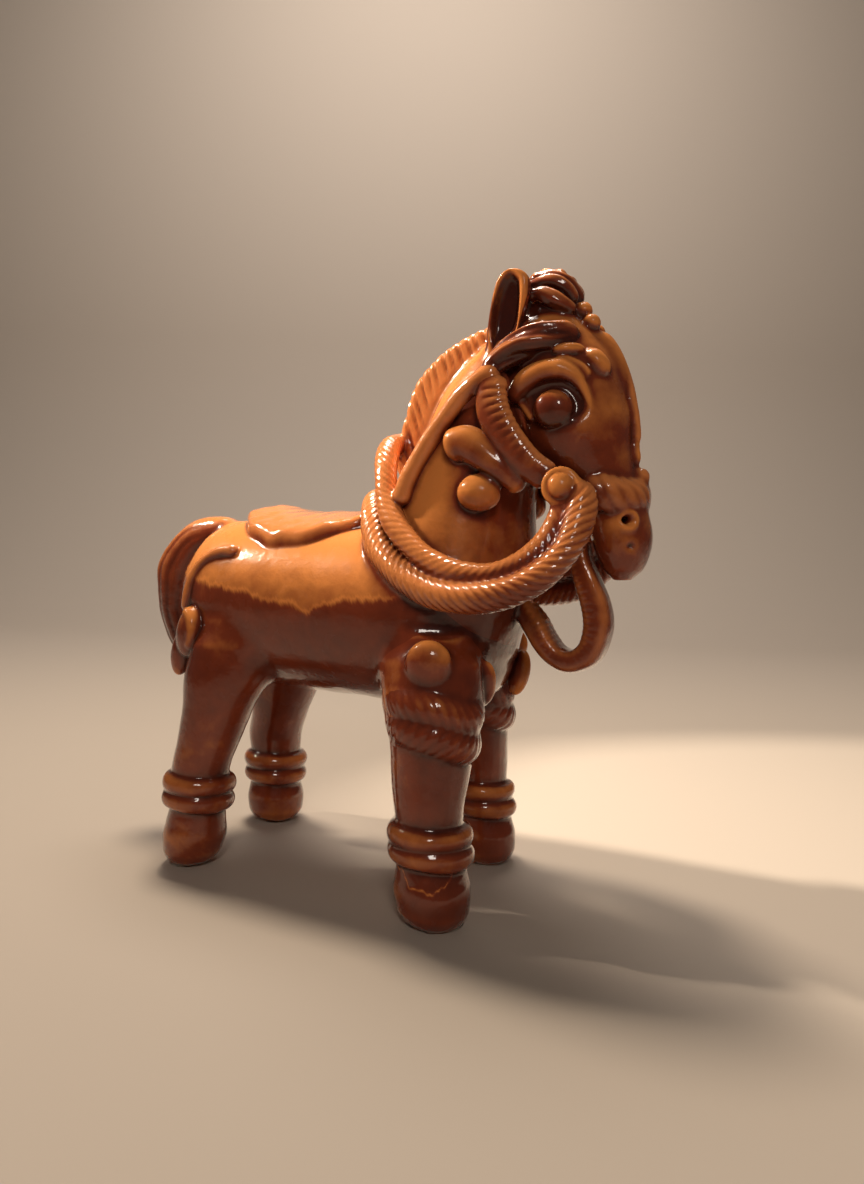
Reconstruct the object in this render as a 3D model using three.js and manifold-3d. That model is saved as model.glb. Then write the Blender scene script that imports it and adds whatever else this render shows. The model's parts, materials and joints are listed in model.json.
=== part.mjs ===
// A glazed pottery horse in harness, hand built from separate clay pieces luted together.
// Millimetres, +X towards the muzzle, +Y towards the horse's left, +Z up, soles on z = 0.
import * as THREE from "three";
import { mergeVertices } from "three/addons/utils/BufferGeometryUtils.js";
import Module from "manifold-3d";

const wasm = await Module();
wasm.setup();

// ---------------------------------------------------------------- driving dimensions
const GAP = 0.3; // luting gap between two clay pieces
const WALL = 7; // clay wall of the hollow trunk, neck and head
const VENT_RADIUS = 4; // firing vent under the belly
const NOSTRIL_RADIUS = 2.1;
const ANKLET_COIL = 4.3; // radius of each ankle coil
const ANKLET_RING = 13.8; // from the leg's middle to the middle of its coils, before girth
const INNER_STRAND_RADIUS = 4.8; // the garland's two rolled strands
const OUTER_STRAND_RADIUS = 5.6;
const KNEE_COIL = 5.4; // radius of each roll of the knee bands
const CRUPPER_RADIUS = 3;
const FORELOCK_RADIUS = 6.8;
const STRAP_COLOUR = 0x8a4520;
const CLAY_COLOUR = 0x9c4f22;
const RIGHT = -1;
const LEFT = 1;
const SIDES = [
  ["right", RIGHT],
  ["left", LEFT],
];

// ---------------------------------------------------------------- turning geometry into solids
function solidOf(geometry) {
  const plain = geometry.index ? geometry.toNonIndexed() : geometry.clone();
  plain.deleteAttribute("normal");
  plain.deleteAttribute("uv");
  const merged = mergeVertices(plain, 1e-4);
  const mesh = new wasm.Mesh({
    numProp: 3,
    vertProperties: new Float32Array(merged.attributes.position.array),
    triVerts: new Uint32Array(merged.index.array),
  });
  return new wasm.Manifold(mesh);
}

function geometryOf(solid) {
  const mesh = solid.getMesh();
  const positions = new Float32Array(mesh.numVert * 3);
  for (let i = 0; i < mesh.numVert; i++) {
    const from = i * mesh.numProp;
    positions.set(mesh.vertProperties.subarray(from, from + 3), i * 3);
  }
  const geometry = new THREE.BufferGeometry();
  geometry.setAttribute("position", new THREE.BufferAttribute(positions, 3));
  geometry.setIndex(new THREE.BufferAttribute(new Uint32Array(mesh.triVerts), 1));
  geometry.computeVertexNormals();
  return geometry;
}

// A cut can leave crumbs behind: the piece is the largest body.
function largestBody(solid) {
  const bodies = solid.decompose();
  return bodies.reduce((a, b) => (b.volume() > a.volume() ? b : a));
}

// ---------------------------------------------------------------- forms
// A closed form through oval sections {at, a, b}: a centre and two half-axes, with a pole at each end.
function loft(sections, sides) {
  const positions = [];
  const index = [];
  const point = new THREE.Vector3();
  for (const { at, a, b } of sections) {
    for (let i = 0; i < sides; i++) {
      const turn = (i / sides) * 2 * Math.PI;
      point.copy(at).addScaledVector(a, Math.cos(turn)).addScaledVector(b, Math.sin(turn));
      positions.push(point.x, point.y, point.z);
    }
  }
  const last = sections.length - 1;
  positions.push(...sections[0].at.toArray(), ...sections[last].at.toArray());
  const firstPole = sections.length * sides;
  for (let i = 0; i < sides; i++) {
    const next = (i + 1) % sides;
    for (let j = 0; j < last; j++) {
      const low = j * sides;
      const high = low + sides;
      index.push(low + i, low + next, high + next, low + i, high + next, high + i);
    }
    index.push(firstPole, next, i, firstPole + 1, last * sides + i, last * sides + next);
  }
  const geometry = new THREE.BufferGeometry();
  geometry.setAttribute("position", new THREE.BufferAttribute(new Float32Array(positions), 3));
  geometry.setIndex(index);
  return solidOf(geometry);
}

// Sections stand across X: the trunk, as [x, centre z, half height, half width].
function acrossX(rows, grow) {
  return rows.map(([x, z, high, wide]) => ({
    at: new THREE.Vector3(x, 0, z),
    a: new THREE.Vector3(0, wide + grow, 0),
    b: new THREE.Vector3(0, 0, high + grow),
  }));
}

// Sections lie flat: the neck and the legs, as [z, centre x, centre y, half depth, half width].
function acrossZ(rows, grow) {
  return rows.map(([z, x, y, deep, wide]) => ({
    at: new THREE.Vector3(x, y, z),
    a: new THREE.Vector3(deep + grow, 0, 0),
    b: new THREE.Vector3(0, wide + grow, 0),
  }));
}

// Sections stand across a line in the middle plane: the head and tail, as [x, z, half depth, half width].
function acrossMiddle(rows, grow) {
  const centres = rows.map(([x, z]) => new THREE.Vector3(x, 0, z));
  const side = new THREE.Vector3(0, 1, 0);
  return rows.map(([, , deep, wide], i) => {
    const before = centres[Math.max(i - 1, 0)];
    const after = centres[Math.min(i + 1, rows.length - 1)];
    const along = after.clone().sub(before).normalize();
    return {
      at: centres[i],
      a: side.clone().multiplyScalar(wide + grow),
      b: along.clone().cross(side).multiplyScalar(deep + grow),
    };
  });
}

const stretchEnds = (rows, axis, grow) =>
  rows.map((row, i) => {
    const end = i === 0 ? -1 : i === rows.length - 1 ? 1 : 0;
    const sense = Math.sign(rows[rows.length - 1][axis] - rows[0][axis]);
    return row.map((value, k) => (k === axis ? value + end * sense * grow : value));
  });

// A rolled coil through points, round or flattened, as an extrusion along its line.
function coil(points, radius, { sides = 8, steps = 20, closed = false } = {}) {
  const path = new THREE.CatmullRomCurve3(
    points.map((p) => new THREE.Vector3(...p)),
    closed,
    "centripetal",
  );
  const section = new THREE.Shape();
  section.absarc(0, 0, radius, 0, 2 * Math.PI);
  const sweep = { steps, curveSegments: sides / 2, extrudePath: path, bevelEnabled: false };
  return solidOf(new THREE.ExtrudeGeometry(section, sweep));
}

// A ball pressed into an oval pad: half sizes along its own axes, turned so that its third axis faces out.
function pad(centre, [a, b, c], facing, grow, { around = 12, rows = 6, spin = 0 } = {}) {
  const geometry = new THREE.SphereGeometry(1, around, rows);
  geometry.scale(a + grow, b + grow, c + grow);
  geometry.rotateZ(spin);
  const turn = new THREE.Matrix4().lookAt(
    new THREE.Vector3(...facing),
    new THREE.Vector3(),
    new THREE.Vector3(0, 0, 1),
  );
  geometry.applyMatrix4(turn);
  geometry.translate(...centre);
  return solidOf(geometry);
}

// A ring laid round a leg.
function ring(centre, ringRadius, coilRadius, tilt, { arc = 14, sides = 6 } = {}) {
  const geometry = new THREE.TorusGeometry(ringRadius, coilRadius, sides, arc);
  geometry.rotateY(tilt);
  geometry.translate(...centre);
  return solidOf(geometry);
}

// A flat outline given a thickness, with rounded edges, lying in the XZ plane.
function slab(shape, thickness, bevel, segments) {
  const geometry = new THREE.ExtrudeGeometry(shape, {
    depth: thickness - 2 * bevel,
    bevelEnabled: true,
    bevelThickness: bevel,
    bevelSize: bevel,
    bevelOffset: -bevel,
    bevelSegments: 2,
    curveSegments: segments,
  });
  geometry.translate(0, 0, bevel - thickness / 2);
  geometry.rotateX(Math.PI / 2);
  return geometry;
}

const mirrored = (side, points) => points.map(([x, out, z]) => [x, side * out, z]);

// ---------------------------------------------------------------- the assembly
// Each piece is cut back from the ones laid before it, so that neighbours meet across the luting gap.
const horse = new THREE.Group();
const laid = [];

function lay(name, form, { hollow = [], colour = CLAY_COLOUR } = {}) {
  let solid = form(0);
  const box = solid.boundingBox();
  for (const other of laid) {
    const apart = [0, 1, 2].some((k) => other.box.min[k] > box.max[k] || other.box.max[k] < box.min[k]);
    if (!apart) solid = solid.subtract(other.cutter);
  }
  for (const opening of hollow) solid = solid.subtract(opening);
  solid = largestBody(solid);
  const cutter = form(GAP);
  laid.push({ cutter, box: cutter.boundingBox() });
  const material = new THREE.MeshStandardMaterial({ color: colour, roughness: 0.18, metalness: 0 });
  const mesh = new THREE.Mesh(geometryOf(solid), material);
  mesh.name = name;
  horse.add(mesh);
}

// ---------------------------------------------------------------- trunk, neck and head
const TRUNK = [
  [-101, 134, 6, 6],
  [-98, 133, 17, 17],
  [-91, 132, 29, 29],
  [-80, 131, 37.5, 38],
  [-62, 130, 41.5, 43],
  [-35, 129, 42.5, 45],
  [-5, 128.5, 42.5, 45.5],
  [25, 128, 43, 46.5],
  [44, 126.5, 42, 45],
  [58, 124, 37, 38],
  [68, 120, 28, 27],
  [74, 117, 15, 14.5],
  [75.5, 116, 5, 5],
];
const trunk = (grow) => loft(acrossX(stretchEnds(TRUNK, 0, grow), grow), 24);
const NECK = [
  [112, 44, 0, 30, 34],
  [140, 46, 0, 38, 40],
  [160, 47.5, 0, 36.5, 37],
  [180, 51, 0, 33, 33.5],
  [200, 58, 0, 30.5, 30],
  [220, 66, 0, 28, 26],
  [238, 72, 0, 22, 21],
  [250, 76, 0, 14, 14],
  [255, 77, 0, 5, 5],
];
const neck = (grow) => loft(acrossZ(stretchEnds(NECK, 0, grow), grow), 20);
const HEAD = [
  [84, 260, 7, 7],
  [87, 253, 17, 18],
  [91, 240, 23.5, 24.5],
  [97, 225, 26, 27],
  [103, 209, 25.5, 27],
  [110, 193, 20.5, 22.5],
  [118, 182, 15.5, 17],
  [123, 171, 13, 15.5],
  [125, 160, 11.5, 14.5],
  [125.5, 151, 8.5, 11],
  [125.5, 146, 4, 5],
];
const head = (grow) => loft(acrossMiddle(stretchEnds(HEAD, 1, grow), grow), 20);

// The trunk's cavity opens through the belly vent, and passages join the neck's and head's cavities to it.
const cavity = (rows, across, sides) => loft(across(rows, -WALL), sides);
const trunkCavity = cavity(TRUNK.slice(2, -2), acrossX, 12);
const neckCavity = cavity(NECK.slice(0, -2), acrossZ, 12);
const headCavity = cavity(HEAD.slice(2, 6), acrossMiddle, 12);
const passage = (from, to, radius) => coil([from, to], radius, { steps: 1 });
const bellyVent = passage([-10, 0, 70], [-10, 0, 110], VENT_RADIUS);
const neckPassage = passage([58, 0, 214], [98, 0, 222], 8);
const trunkPassage = passage([46, 0, 120], [46, 0, 190], 20);

lay("trunk", trunk, { hollow: [trunkCavity, bellyVent, trunkPassage] });
lay("neck", neck, { hollow: [neckCavity, trunkPassage, neckPassage] });
const nostrils = SIDES.map(([, side]) =>
  passage([120, side * 6, 170], [137, side * 20, 172], NOSTRIL_RADIUS),
);
lay("head", head, { hollow: [headCavity, neckPassage, ...nostrils] });

// ---------------------------------------------------------------- legs with their hooves
// Height, then half width: hoof, ankle, shank and the thigh that runs up inside the trunk.
const LEG_PROFILE = [
  [0, 8],
  [2.5, 12],
  [8, 15.6],
  [15, 16.2],
  [22, 15],
  [30, 13.6],
  [48, 14.8],
  [62, 15.8],
  [78, 17.8],
  [94, 20],
  [108, 19],
  [119, 12],
];
const KNEE_HEIGHT = 50;
const HIP_HEIGHT = 100;
// Each foot, knee and hip is [x, distance out]. Girth scales the leg's profile, and thigh is how
// many times deeper it is at the top.
const LEGS = [
  {
    name: "front_right",
    side: RIGHT,
    foot: [61, 39],
    knee: [57, 39],
    hip: [54, 32],
    girth: 1.0,
    thigh: 1.1,
  },
  {
    name: "front_left",
    side: LEFT,
    foot: [53, 41],
    knee: [47.5, 40],
    hip: [44, 32],
    girth: 0.94,
    thigh: 1.05,
  },
  {
    name: "rear_right",
    side: RIGHT,
    foot: [-73.5, 37],
    knee: [-67, 38],
    hip: [-56, 31],
    girth: 0.93,
    thigh: 1.15,
  },
  {
    name: "rear_left",
    side: LEFT,
    foot: [-79, 38],
    knee: [-80, 38],
    hip: [-66, 31],
    girth: 0.98,
    thigh: 1.18,
  },
];
// Heights of the upper and lower ankle coil on each leg.
const ANKLETS = {
  front_right: [38.6, 31.4],
  front_left: [37.6, 29.6],
  rear_right: [41.6, 33.6],
  rear_left: [36, 28],
};
const mix = (a, b, share) => a + (b - a) * share;

function legAxis({ foot, knee, hip }, z) {
  const below = z < KNEE_HEIGHT;
  const share = below ? z / KNEE_HEIGHT : (z - KNEE_HEIGHT) / (HIP_HEIGHT - KNEE_HEIGHT);
  const [from, to] = below ? [foot, knee] : [knee, hip];
  return [mix(from[0], to[0], share), mix(from[1], to[1], share)];
}

function legForm(leg) {
  const rows = LEG_PROFILE.map(([z, radius]) => {
    const [x, out] = legAxis(leg, z);
    const upper = THREE.MathUtils.clamp((z - KNEE_HEIGHT) / (HIP_HEIGHT - KNEE_HEIGHT), 0, 1);
    const half = radius * leg.girth;
    return [z, x, leg.side * out, half * mix(1, leg.thigh, upper), half];
  });
  return (grow) => loft(acrossZ(rows, grow), 16);
}

for (const leg of LEGS) lay(`${leg.name}_leg`, legForm(leg));
for (const leg of LEGS) {
  const [upper, lower] = ANKLETS[leg.name];
  for (const [place, z] of Object.entries({ upper, lower })) {
    const [x, out] = legAxis(leg, z);
    lay(`${leg.name}_anklet_${place}`, (grow) =>
      ring([x, leg.side * out, z], ANKLET_RING * leg.girth, ANKLET_COIL + grow, 0.04),
    );
  }
}

// ---------------------------------------------------------------- mane, ears and tail
function maneForm(grow) {
  const crest = new THREE.Shape();
  crest.moveTo(17, 194);
  crest.bezierCurveTo(16, 228, 32, 256, 68, 258.5);
  crest.lineTo(76, 240);
  crest.bezierCurveTo(56, 232, 42, 214, 36, 186);
  crest.closePath();
  return solidOf(slab(crest, 14 + 2 * grow, 3, 8));
}
lay("mane", maneForm, { colour: STRAP_COLOUR });

// A leaf-shaped ear, hollowed on its outer face, standing at the side of the poll. The left one
// stands higher.
const EARS = {
  right: { foot: [76.5, -17, 243], tip: 34 },
  left: { foot: [81, 17, 248], tip: 40 },
};
function earForm({ foot, tip }, side) {
  return (grow) => {
    const leaf = new THREE.Shape();
    leaf.moveTo(0, -10);
    leaf.bezierCurveTo(13 + grow, -6, 15 + grow, 0.6 * tip, 4, 0.97 * tip + grow);
    leaf.bezierCurveTo(0, tip + 2 + grow, -3, tip + 1 + grow, -5 - grow, 0.9 * tip);
    leaf.bezierCurveTo(-12 - grow, 0.55 * tip, -11 - grow, -4, 0, -10);
    const bowl = new THREE.SphereGeometry(1, 12, 8);
    bowl.scale(6.5, 5, 0.48 * tip);
    bowl.translate(-0.5, side * 5, 0.36 * tip);
    const blade = slab(leaf, 8 + 2 * grow, 2, 6);
    for (const part of [blade, bowl]) part.translate(...foot);
    return grow > 0 ? solidOf(blade) : solidOf(blade).subtract(solidOf(bowl));
  };
}
for (const [name, side] of SIDES) lay(`ear_${name}`, earForm(EARS[name], side));

const TAIL = [
  [-76, 164, 5, 6],
  [-88, 164, 9, 8],
  [-101, 161, 12, 9.5],
  [-112, 152, 14, 10.5],
  [-119, 139, 14.5, 11],
  [-119, 124, 12.5, 10.5],
  [-115, 110, 10.5, 9.5],
  [-110, 99, 7.5, 8],
  [-107, 92, 3, 4],
];
const tail = (grow) => loft(acrossMiddle(TAIL, grow), 14);
lay("tail", tail);

// ---------------------------------------------------------------- saddle cloth and crupper
// The cloth is a sheet of clay following the back, trimmed to a wavy leaf outline.
const CLOTH_THICKNESS = 4.5;
function clothOutline() {
  const half = [
    [-61, 0],
    [-58, 15],
    [-51, 26],
    [-40, 31],
    [-29, 32.5],
    [-17, 31],
    [-6, 27],
    [4, 21],
    [14, 15],
    [26, 9],
  ];
  const points = [...half, ...half.slice(1).reverse().map(([x, y]) => [x, -y])];
  return new THREE.Shape(points.map(([x, y]) => new THREE.Vector2(x, y)));
}
function clothForm(grow) {
  const prism = new THREE.ExtrudeGeometry(clothOutline(), { depth: 60, bevelEnabled: false });
  prism.translate(0, 0, 140);
  const sheet = trunk(CLOTH_THICKNESS + grow).intersect(solidOf(prism));
  const cantle = pad([-52, 0, 167.5], [8, 17, 9], [0, 0, 1], grow, { around: 16 });
  return sheet.add(cantle);
}
lay("saddle_cloth", clothForm, { colour: STRAP_COLOUR });

const HIP_LEAN = 0.4; // the leaf-shaped boss leans its tip forward
const HIP_LEAF = [9.5, 15.5, 7]; // half width, half height and half thickness

for (const [name, side] of SIDES) {
  const crupper = mirrored(side, [
    [-51, 32.5, 158],
    [-60, 33.5, 156],
    [-67.5, 34.8, 152.3],
    [-72.6, 36.8, 146.5],
    [-75.8, 38, 140],
    [-77.8, 38.3, 132],
    [-79.5, 37.4, 124],
  ]);
  lay(`crupper_strap_${name}`, (grow) => coil(crupper, CRUPPER_RADIUS + grow, { steps: 14 }), {
    colour: STRAP_COLOUR,
  });
  lay(`hip_boss_${name}`, (grow) => pad([-76, side * 40.5, 110], HIP_LEAF, [-0.35, side, 0.05], grow, {
    spin: side * HIP_LEAN,
  }));
}

// ---------------------------------------------------------------- face
for (const [name, side] of SIDES) {
  lay(`eye_${name}`, (grow) => pad([100.5, side * 25.5, 214.5], [8, 8, 5.5], [0.15, side, 0], grow));
  const brow = mirrored(side, [
    [81.5, 22.5, 219.5],
    [86.4, 25, 225],
    [92, 26.5, 229],
    [98, 26.5, 230.6],
    [103, 25.8, 230.4],
    [108, 24, 228],
    [111.5, 22.5, 223.5],
    [114, 21.5, 217],
  ]);
  lay(`brow_ridge_${name}`, (grow) => coil(brow, 4.2 + grow, { steps: 12 }));
}
lay("noseband", (grow) => {
  const band = new THREE.TorusGeometry(1, 0.4, 8, 18);
  band.scale(13.6 + grow, 15.4 + grow, 18 + grow);
  band.rotateY(0.12);
  band.translate(117, 0, 183);
  return solidOf(band);
}, { colour: STRAP_COLOUR });
const FACE_LINE = [
  [108.5, 0, 250],
  [116, 0, 240],
  [122.5, 0, 226],
  [126.3, 0, 213],
  [127, 0, 203],
];
lay("face_strap", (grow) => coil(FACE_LINE, 2.6 + grow, { sides: 6, steps: 8 }), { colour: STRAP_COLOUR });
lay("face_pendant", (grow) =>
  pad([127.4, 0, 198.2], [3.6, 5.4, 3.4], [1, 0, 0.1], grow, { around: 10, rows: 6 }),
);

// ---------------------------------------------------------------- forelock and topknot
for (const [name, side] of SIDES) {
  const lock = mirrored(side, [
    [70.5, 29, 227.5],
    [76.5, 28, 235],
    [84, 26, 240.8],
    [92, 23.3, 244],
    [99.5, 18.8, 246.2],
    [105.5, 12, 248],
  ]);
  lay(`forelock_${name}`, (grow) => coil(lock, FORELOCK_RADIUS + grow, { steps: 12 }));
}
// The tied topknot: a stem with a rolled lip leaning forward over it.
function topknotForm(grow) {
  const stem = pad([91, 0, 255], [11.5, 11.5, 15], [0, 0, 1], grow, { around: 16 });
  const lip = new THREE.TorusGeometry(8, 4.6 + grow, 8, 14);
  lip.rotateY(0.45);
  lip.translate(91.5, 0, 267.5);
  const crown = pad([90, 0, 272], [8.5, 8, 7], [0, 0, 1], grow);
  return stem.add(solidOf(lip)).add(crown);
}
lay("topknot", topknotForm);
const BERRIES = { top: [105, -2, 260.5], right: [109.4, -4.4, 254.6], left: [109.2, 3.6, 252.4] };
for (const [place, centre] of Object.entries(BERRIES)) {
  lay(`berry_${place}`, (grow) => pad(centre, [4, 4, 4], [1, 0, 0.2], grow, { around: 10, rows: 6 }));
}

// ---------------------------------------------------------------- bridle and garland
for (const [name, side] of SIDES) {
  const cheek = mirrored(side, [
    [75, 29.5, 229],
    [76.5, 31.5, 217],
    [82.5, 32, 205],
    [91.5, 31, 193.5],
    [102, 28, 185.5],
  ]);
  lay(`cheek_strap_${name}`, (grow) => coil(cheek, 6.4 + grow, { steps: 12 }), { colour: STRAP_COLOUR });
  lay(`bit_button_${name}`, (grow) => pad([107, side * 28, 183.4], [7, 7, 7.5], [0.2, side, 0], grow));
  const rein = mirrored(side, [
    [74, 30.2, 229.8],
    [63, 31, 222],
    [52.5, 31, 209.5],
    [44, 32, 196.5],
    [38.5, 33.5, 185],
    [36, 34, 176],
  ]);
  lay(`rein_${name}`, (grow) => coil(rein, 3.4 + grow, { sides: 6, steps: 12 }), { colour: STRAP_COLOUR });
  const throat = mirrored(side, [
    [57, 30.5, 200],
    [65.5, 32, 201.5],
    [75, 31.5, 195],
    [83, 29, 188.5],
    [90, 26, 183],
  ]);
  lay(`throat_coil_${name}`, (grow) => coil(throat, 6.6 + grow, { steps: 8 }));
  lay(`neck_boss_${name}`, (grow) => pad([71.5, side * 31, 181.5], [10, 8.8, 6.5], [0.35, side, 0.1], grow));
  lay(`shoulder_boss_${name}`, (grow) => pad([59, side * 48, 111], [9, 9.2, 6.5], [0.25, side, 0], grow));
  lay(`chest_leaf_${name}`, (grow) =>
    pad([73, side * 22, 100.5], [6, 10.5, 4], [0.6, side * 0.8, -0.2], grow),
  );
}

// Two strands a side hang from the bit button round the shoulder: the inner one rises to the withers,
// the outer one passes over the back behind the neck.
const INNER_STRAND = [
  [106.5, 25, 182.5],
  [107, 28.5, 176],
  [105.5, 31.5, 168.5],
  [101.5, 35, 160],
  [92.5, 39, 151.8],
  [80.5, 42, 147.5],
  [66, 43.5, 148.5],
  [52.5, 42.5, 154],
  [38.5, 39, 165],
  [29.5, 33, 177.5],
  [24, 25.5, 192.5],
  [19.5, 14, 204],
  [17, 1, 208],
];
const OUTER_STRAND = [
  [112, 25.5, 184],
  [115, 29.5, 178],
  [115, 33, 170.5],
  [113, 38, 159.5],
  [105, 42, 149],
  [93, 45, 141.5],
  [77, 47, 138],
  [59, 46.5, 139],
  [42, 43.5, 146],
  [29, 37, 156],
  [20, 28, 168.5],
  [13.5, 16, 178],
  [10, 1, 181],
];
for (const [name, side] of SIDES) {
  const inner = mirrored(side, INNER_STRAND);
  const outer = mirrored(side, OUTER_STRAND);
  const look = { colour: STRAP_COLOUR };
  lay(`garland_inner_${name}`, (grow) => coil(inner, INNER_STRAND_RADIUS + grow, { steps: 22 }), look);
  lay(`garland_outer_${name}`, (grow) => coil(outer, OUTER_STRAND_RADIUS + grow, { steps: 22 }), look);
}

// The lead rope, rolled flat, hangs in the middle plane from the chin to the chest.
const LEAD_ROPE = [
  [106, 162, 4.5, 6.5],
  [107.5, 154, 5.2, 8],
  [111.5, 144.5, 5.8, 8.5],
  [115, 135, 6, 8.5],
  [116, 125, 6, 8.5],
  [113, 115.5, 5.6, 8.5],
  [106, 111, 5.2, 8.5],
  [98.5, 112.5, 5.2, 8.5],
  [93, 118, 5.4, 8.5],
  [88, 126, 5.4, 8],
  [82, 134, 4.6, 7],
];
lay("lead_rope", (grow) => loft(acrossMiddle(LEAD_ROPE, grow), 10), { colour: STRAP_COLOUR });

// ---------------------------------------------------------------- knee bands on the front legs
for (const leg of LEGS.slice(0, 2)) {
  for (const [place, z, bulge] of [
    ["upper", 92, 16.5],
    ["lower", 82, 15.6],
  ]) {
    const [x, out] = legAxis(leg, z);
    lay(`${leg.name}_knee_band_${place}`, (grow) =>
      ring([x + 1, leg.side * (out + 1.5), z - 1.5], bulge * leg.girth, KNEE_COIL + grow, 0.16),
    );
  }
}

export default horse;
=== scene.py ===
import json
import math
from functools import partial

import bpy
import numpy as np
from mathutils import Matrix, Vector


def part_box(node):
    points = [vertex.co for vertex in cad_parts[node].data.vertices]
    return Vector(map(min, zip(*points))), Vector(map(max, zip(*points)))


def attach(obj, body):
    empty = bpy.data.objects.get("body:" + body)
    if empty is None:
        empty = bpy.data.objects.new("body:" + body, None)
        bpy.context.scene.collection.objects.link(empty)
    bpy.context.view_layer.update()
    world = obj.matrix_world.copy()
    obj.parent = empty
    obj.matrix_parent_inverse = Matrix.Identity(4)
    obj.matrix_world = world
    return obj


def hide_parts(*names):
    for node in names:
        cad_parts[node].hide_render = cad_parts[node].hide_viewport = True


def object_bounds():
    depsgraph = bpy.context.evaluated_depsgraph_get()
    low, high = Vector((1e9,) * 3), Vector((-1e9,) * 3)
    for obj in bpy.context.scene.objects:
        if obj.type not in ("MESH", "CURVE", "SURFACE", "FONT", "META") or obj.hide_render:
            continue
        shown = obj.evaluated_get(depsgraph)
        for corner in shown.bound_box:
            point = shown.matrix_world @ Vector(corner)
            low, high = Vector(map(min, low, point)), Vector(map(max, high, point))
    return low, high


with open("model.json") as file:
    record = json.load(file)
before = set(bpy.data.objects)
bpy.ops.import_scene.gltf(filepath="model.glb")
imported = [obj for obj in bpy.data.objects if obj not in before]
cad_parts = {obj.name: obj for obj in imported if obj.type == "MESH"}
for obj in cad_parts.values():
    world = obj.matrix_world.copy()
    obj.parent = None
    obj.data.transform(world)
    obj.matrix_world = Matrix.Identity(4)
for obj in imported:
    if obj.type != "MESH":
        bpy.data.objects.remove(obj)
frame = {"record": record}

import openvdb as vdb
from mathutils import Matrix, Vector

# A glazed pottery horse. The clay is modelled as one distance field on a shared grid, in millimetres:
# pieces are laid on one after another and luted with a small fillet, tools cut it, and the field is
# then parted into one closed mesh for each CAD node, so that the glazed surface runs on across seams.

MM = 0.001
CAD_LOW, CAD_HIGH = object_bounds()

# -------- the shared grid
VOXEL = 0.55
BODY_BAND = 12.0  # how far from a body's skin its distances are kept
TRIM_BAND = 5.0
MARGIN = 8.0
LUTING = 1.7  # fillet where a trim is luted on
LAP = 0.8 * VOXEL  # how far a piece runs on under its neighbour
LAP_SINK = 0.35  # how fast it dives there

GRID_FIRST = np.floor((np.array(CAD_LOW) / MM - MARGIN) / VOXEL).astype(int)
GRID_LAST = np.ceil((np.array(CAD_HIGH) / MM + MARGIN) / VOXEL).astype(int)
clay = np.full(GRID_LAST - GRID_FIRST + 1, BODY_BAND, np.float32)
pieces = {}


class Block:
    """Distances in part of the grid: the first voxel and the values."""

    def __init__(self, first, values):
        self.first = np.asarray(first)
        self.values = values

    @property
    def last(self):
        return self.first + self.values.shape

    def axes(self):
        """X, Y and Z in millimetres, shaped so that they spread over the block."""
        lines = [(self.first[k] + np.arange(self.values.shape[k])) * VOXEL for k in range(3)]
        return np.ix_(*(line.astype(np.float32) for line in lines))


def windows(one, other):
    """The same voxels seen in two blocks, or None where they don't meet."""
    low = np.maximum(one.first, other.first)
    high = np.minimum(one.last, other.last)
    if (high <= low).any():
        return None
    cut = [tuple(slice(*span) for span in zip(low - b.first, high - b.first)) for b in (one, other)]
    return cut[0], cut[1]


whole = Block(GRID_FIRST, clay)


def smooth_min(a, b, width):
    if width <= 0:
        return np.minimum(a, b)
    overlap = np.maximum(width - np.abs(a - b), 0) / width
    return np.minimum(a, b) - overlap * overlap * (width / 4)


def smooth_max(a, b, width):
    return -smooth_min(-a, -b, width)


def empty_block(low, high, band=TRIM_BAND):
    first = np.maximum(np.floor(np.array(low) / VOXEL).astype(int), GRID_FIRST)
    last = np.minimum(np.ceil(np.array(high) / VOXEL).astype(int), GRID_LAST)
    return Block(first, np.full(last - first + 1, band, np.float32))


def block_of(points, quads, band=TRIM_BAND):
    """The distance field of a closed mesh."""
    grid = vdb.FloatGrid.createLevelSetFromPolygons(
        np.ascontiguousarray(points, np.float32),
        quads=np.ascontiguousarray(quads, np.uint32),
        transform=vdb.createLinearTransform(VOXEL),
        halfWidth=band / VOXEL,
    )
    block = empty_block(points.min(0) - band - VOXEL, points.max(0) + band + VOXEL, band)
    grid.copyToArray(block.values, ijk=tuple(int(v) for v in block.first))
    return block


def blend(host, block, luting):
    """Lutes one block's form into another."""
    mine, its = windows(host, block)
    host.values[mine] = smooth_min(host.values[mine], block.values[its], luting)


def lay(name, block, luting=LUTING):
    """Lays a named piece on the clay."""
    blend(whole, block, luting)
    pieces[name] = block


def build_up(name, block, luting=LUTING):
    """Adds clay to a piece that is already laid."""
    blend(whole, block, luting)
    blend(pieces[name], block, 0)


def carve(block, softness=1.0):
    """Cuts a tool's shape out of the clay."""
    mine, its = windows(whole, block)
    clay[mine] = smooth_max(clay[mine], -block.values[its], softness)


def join(first, *others, luting=2.0):
    """One block from several that make one piece."""
    low = np.min([b.first for b in (first, *others)], axis=0)
    high = np.max([b.last for b in (first, *others)], axis=0)
    joined = Block(low, np.full(high - low, TRIM_BAND, np.float32))
    for block in (first, *others):
        blend(joined, block, luting)
    return joined


# -------- lines and sections
def fade(value, start, end):
    """0 at start, 1 at end, straight between and level beyond."""
    return np.clip((value - start) / (end - start), 0, 1)


def cubic(t, values, tangent, wanted):
    """The curve through values at t, with the given slopes there."""
    i = np.clip(np.searchsorted(t, wanted, side="right") - 1, 0, len(t) - 2)
    h = (t[i + 1] - t[i])[:, None]
    u = ((wanted - t[i]) / h[:, 0])[:, None]
    return (
        values[i] * (1 + 2 * u) * (1 - u) ** 2
        + values[i + 1] * u * u * (3 - 2 * u)
        + tangent[i] * h * u * (1 - u) ** 2
        - tangent[i + 1] * h * u * u * (1 - u)
    )


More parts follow.
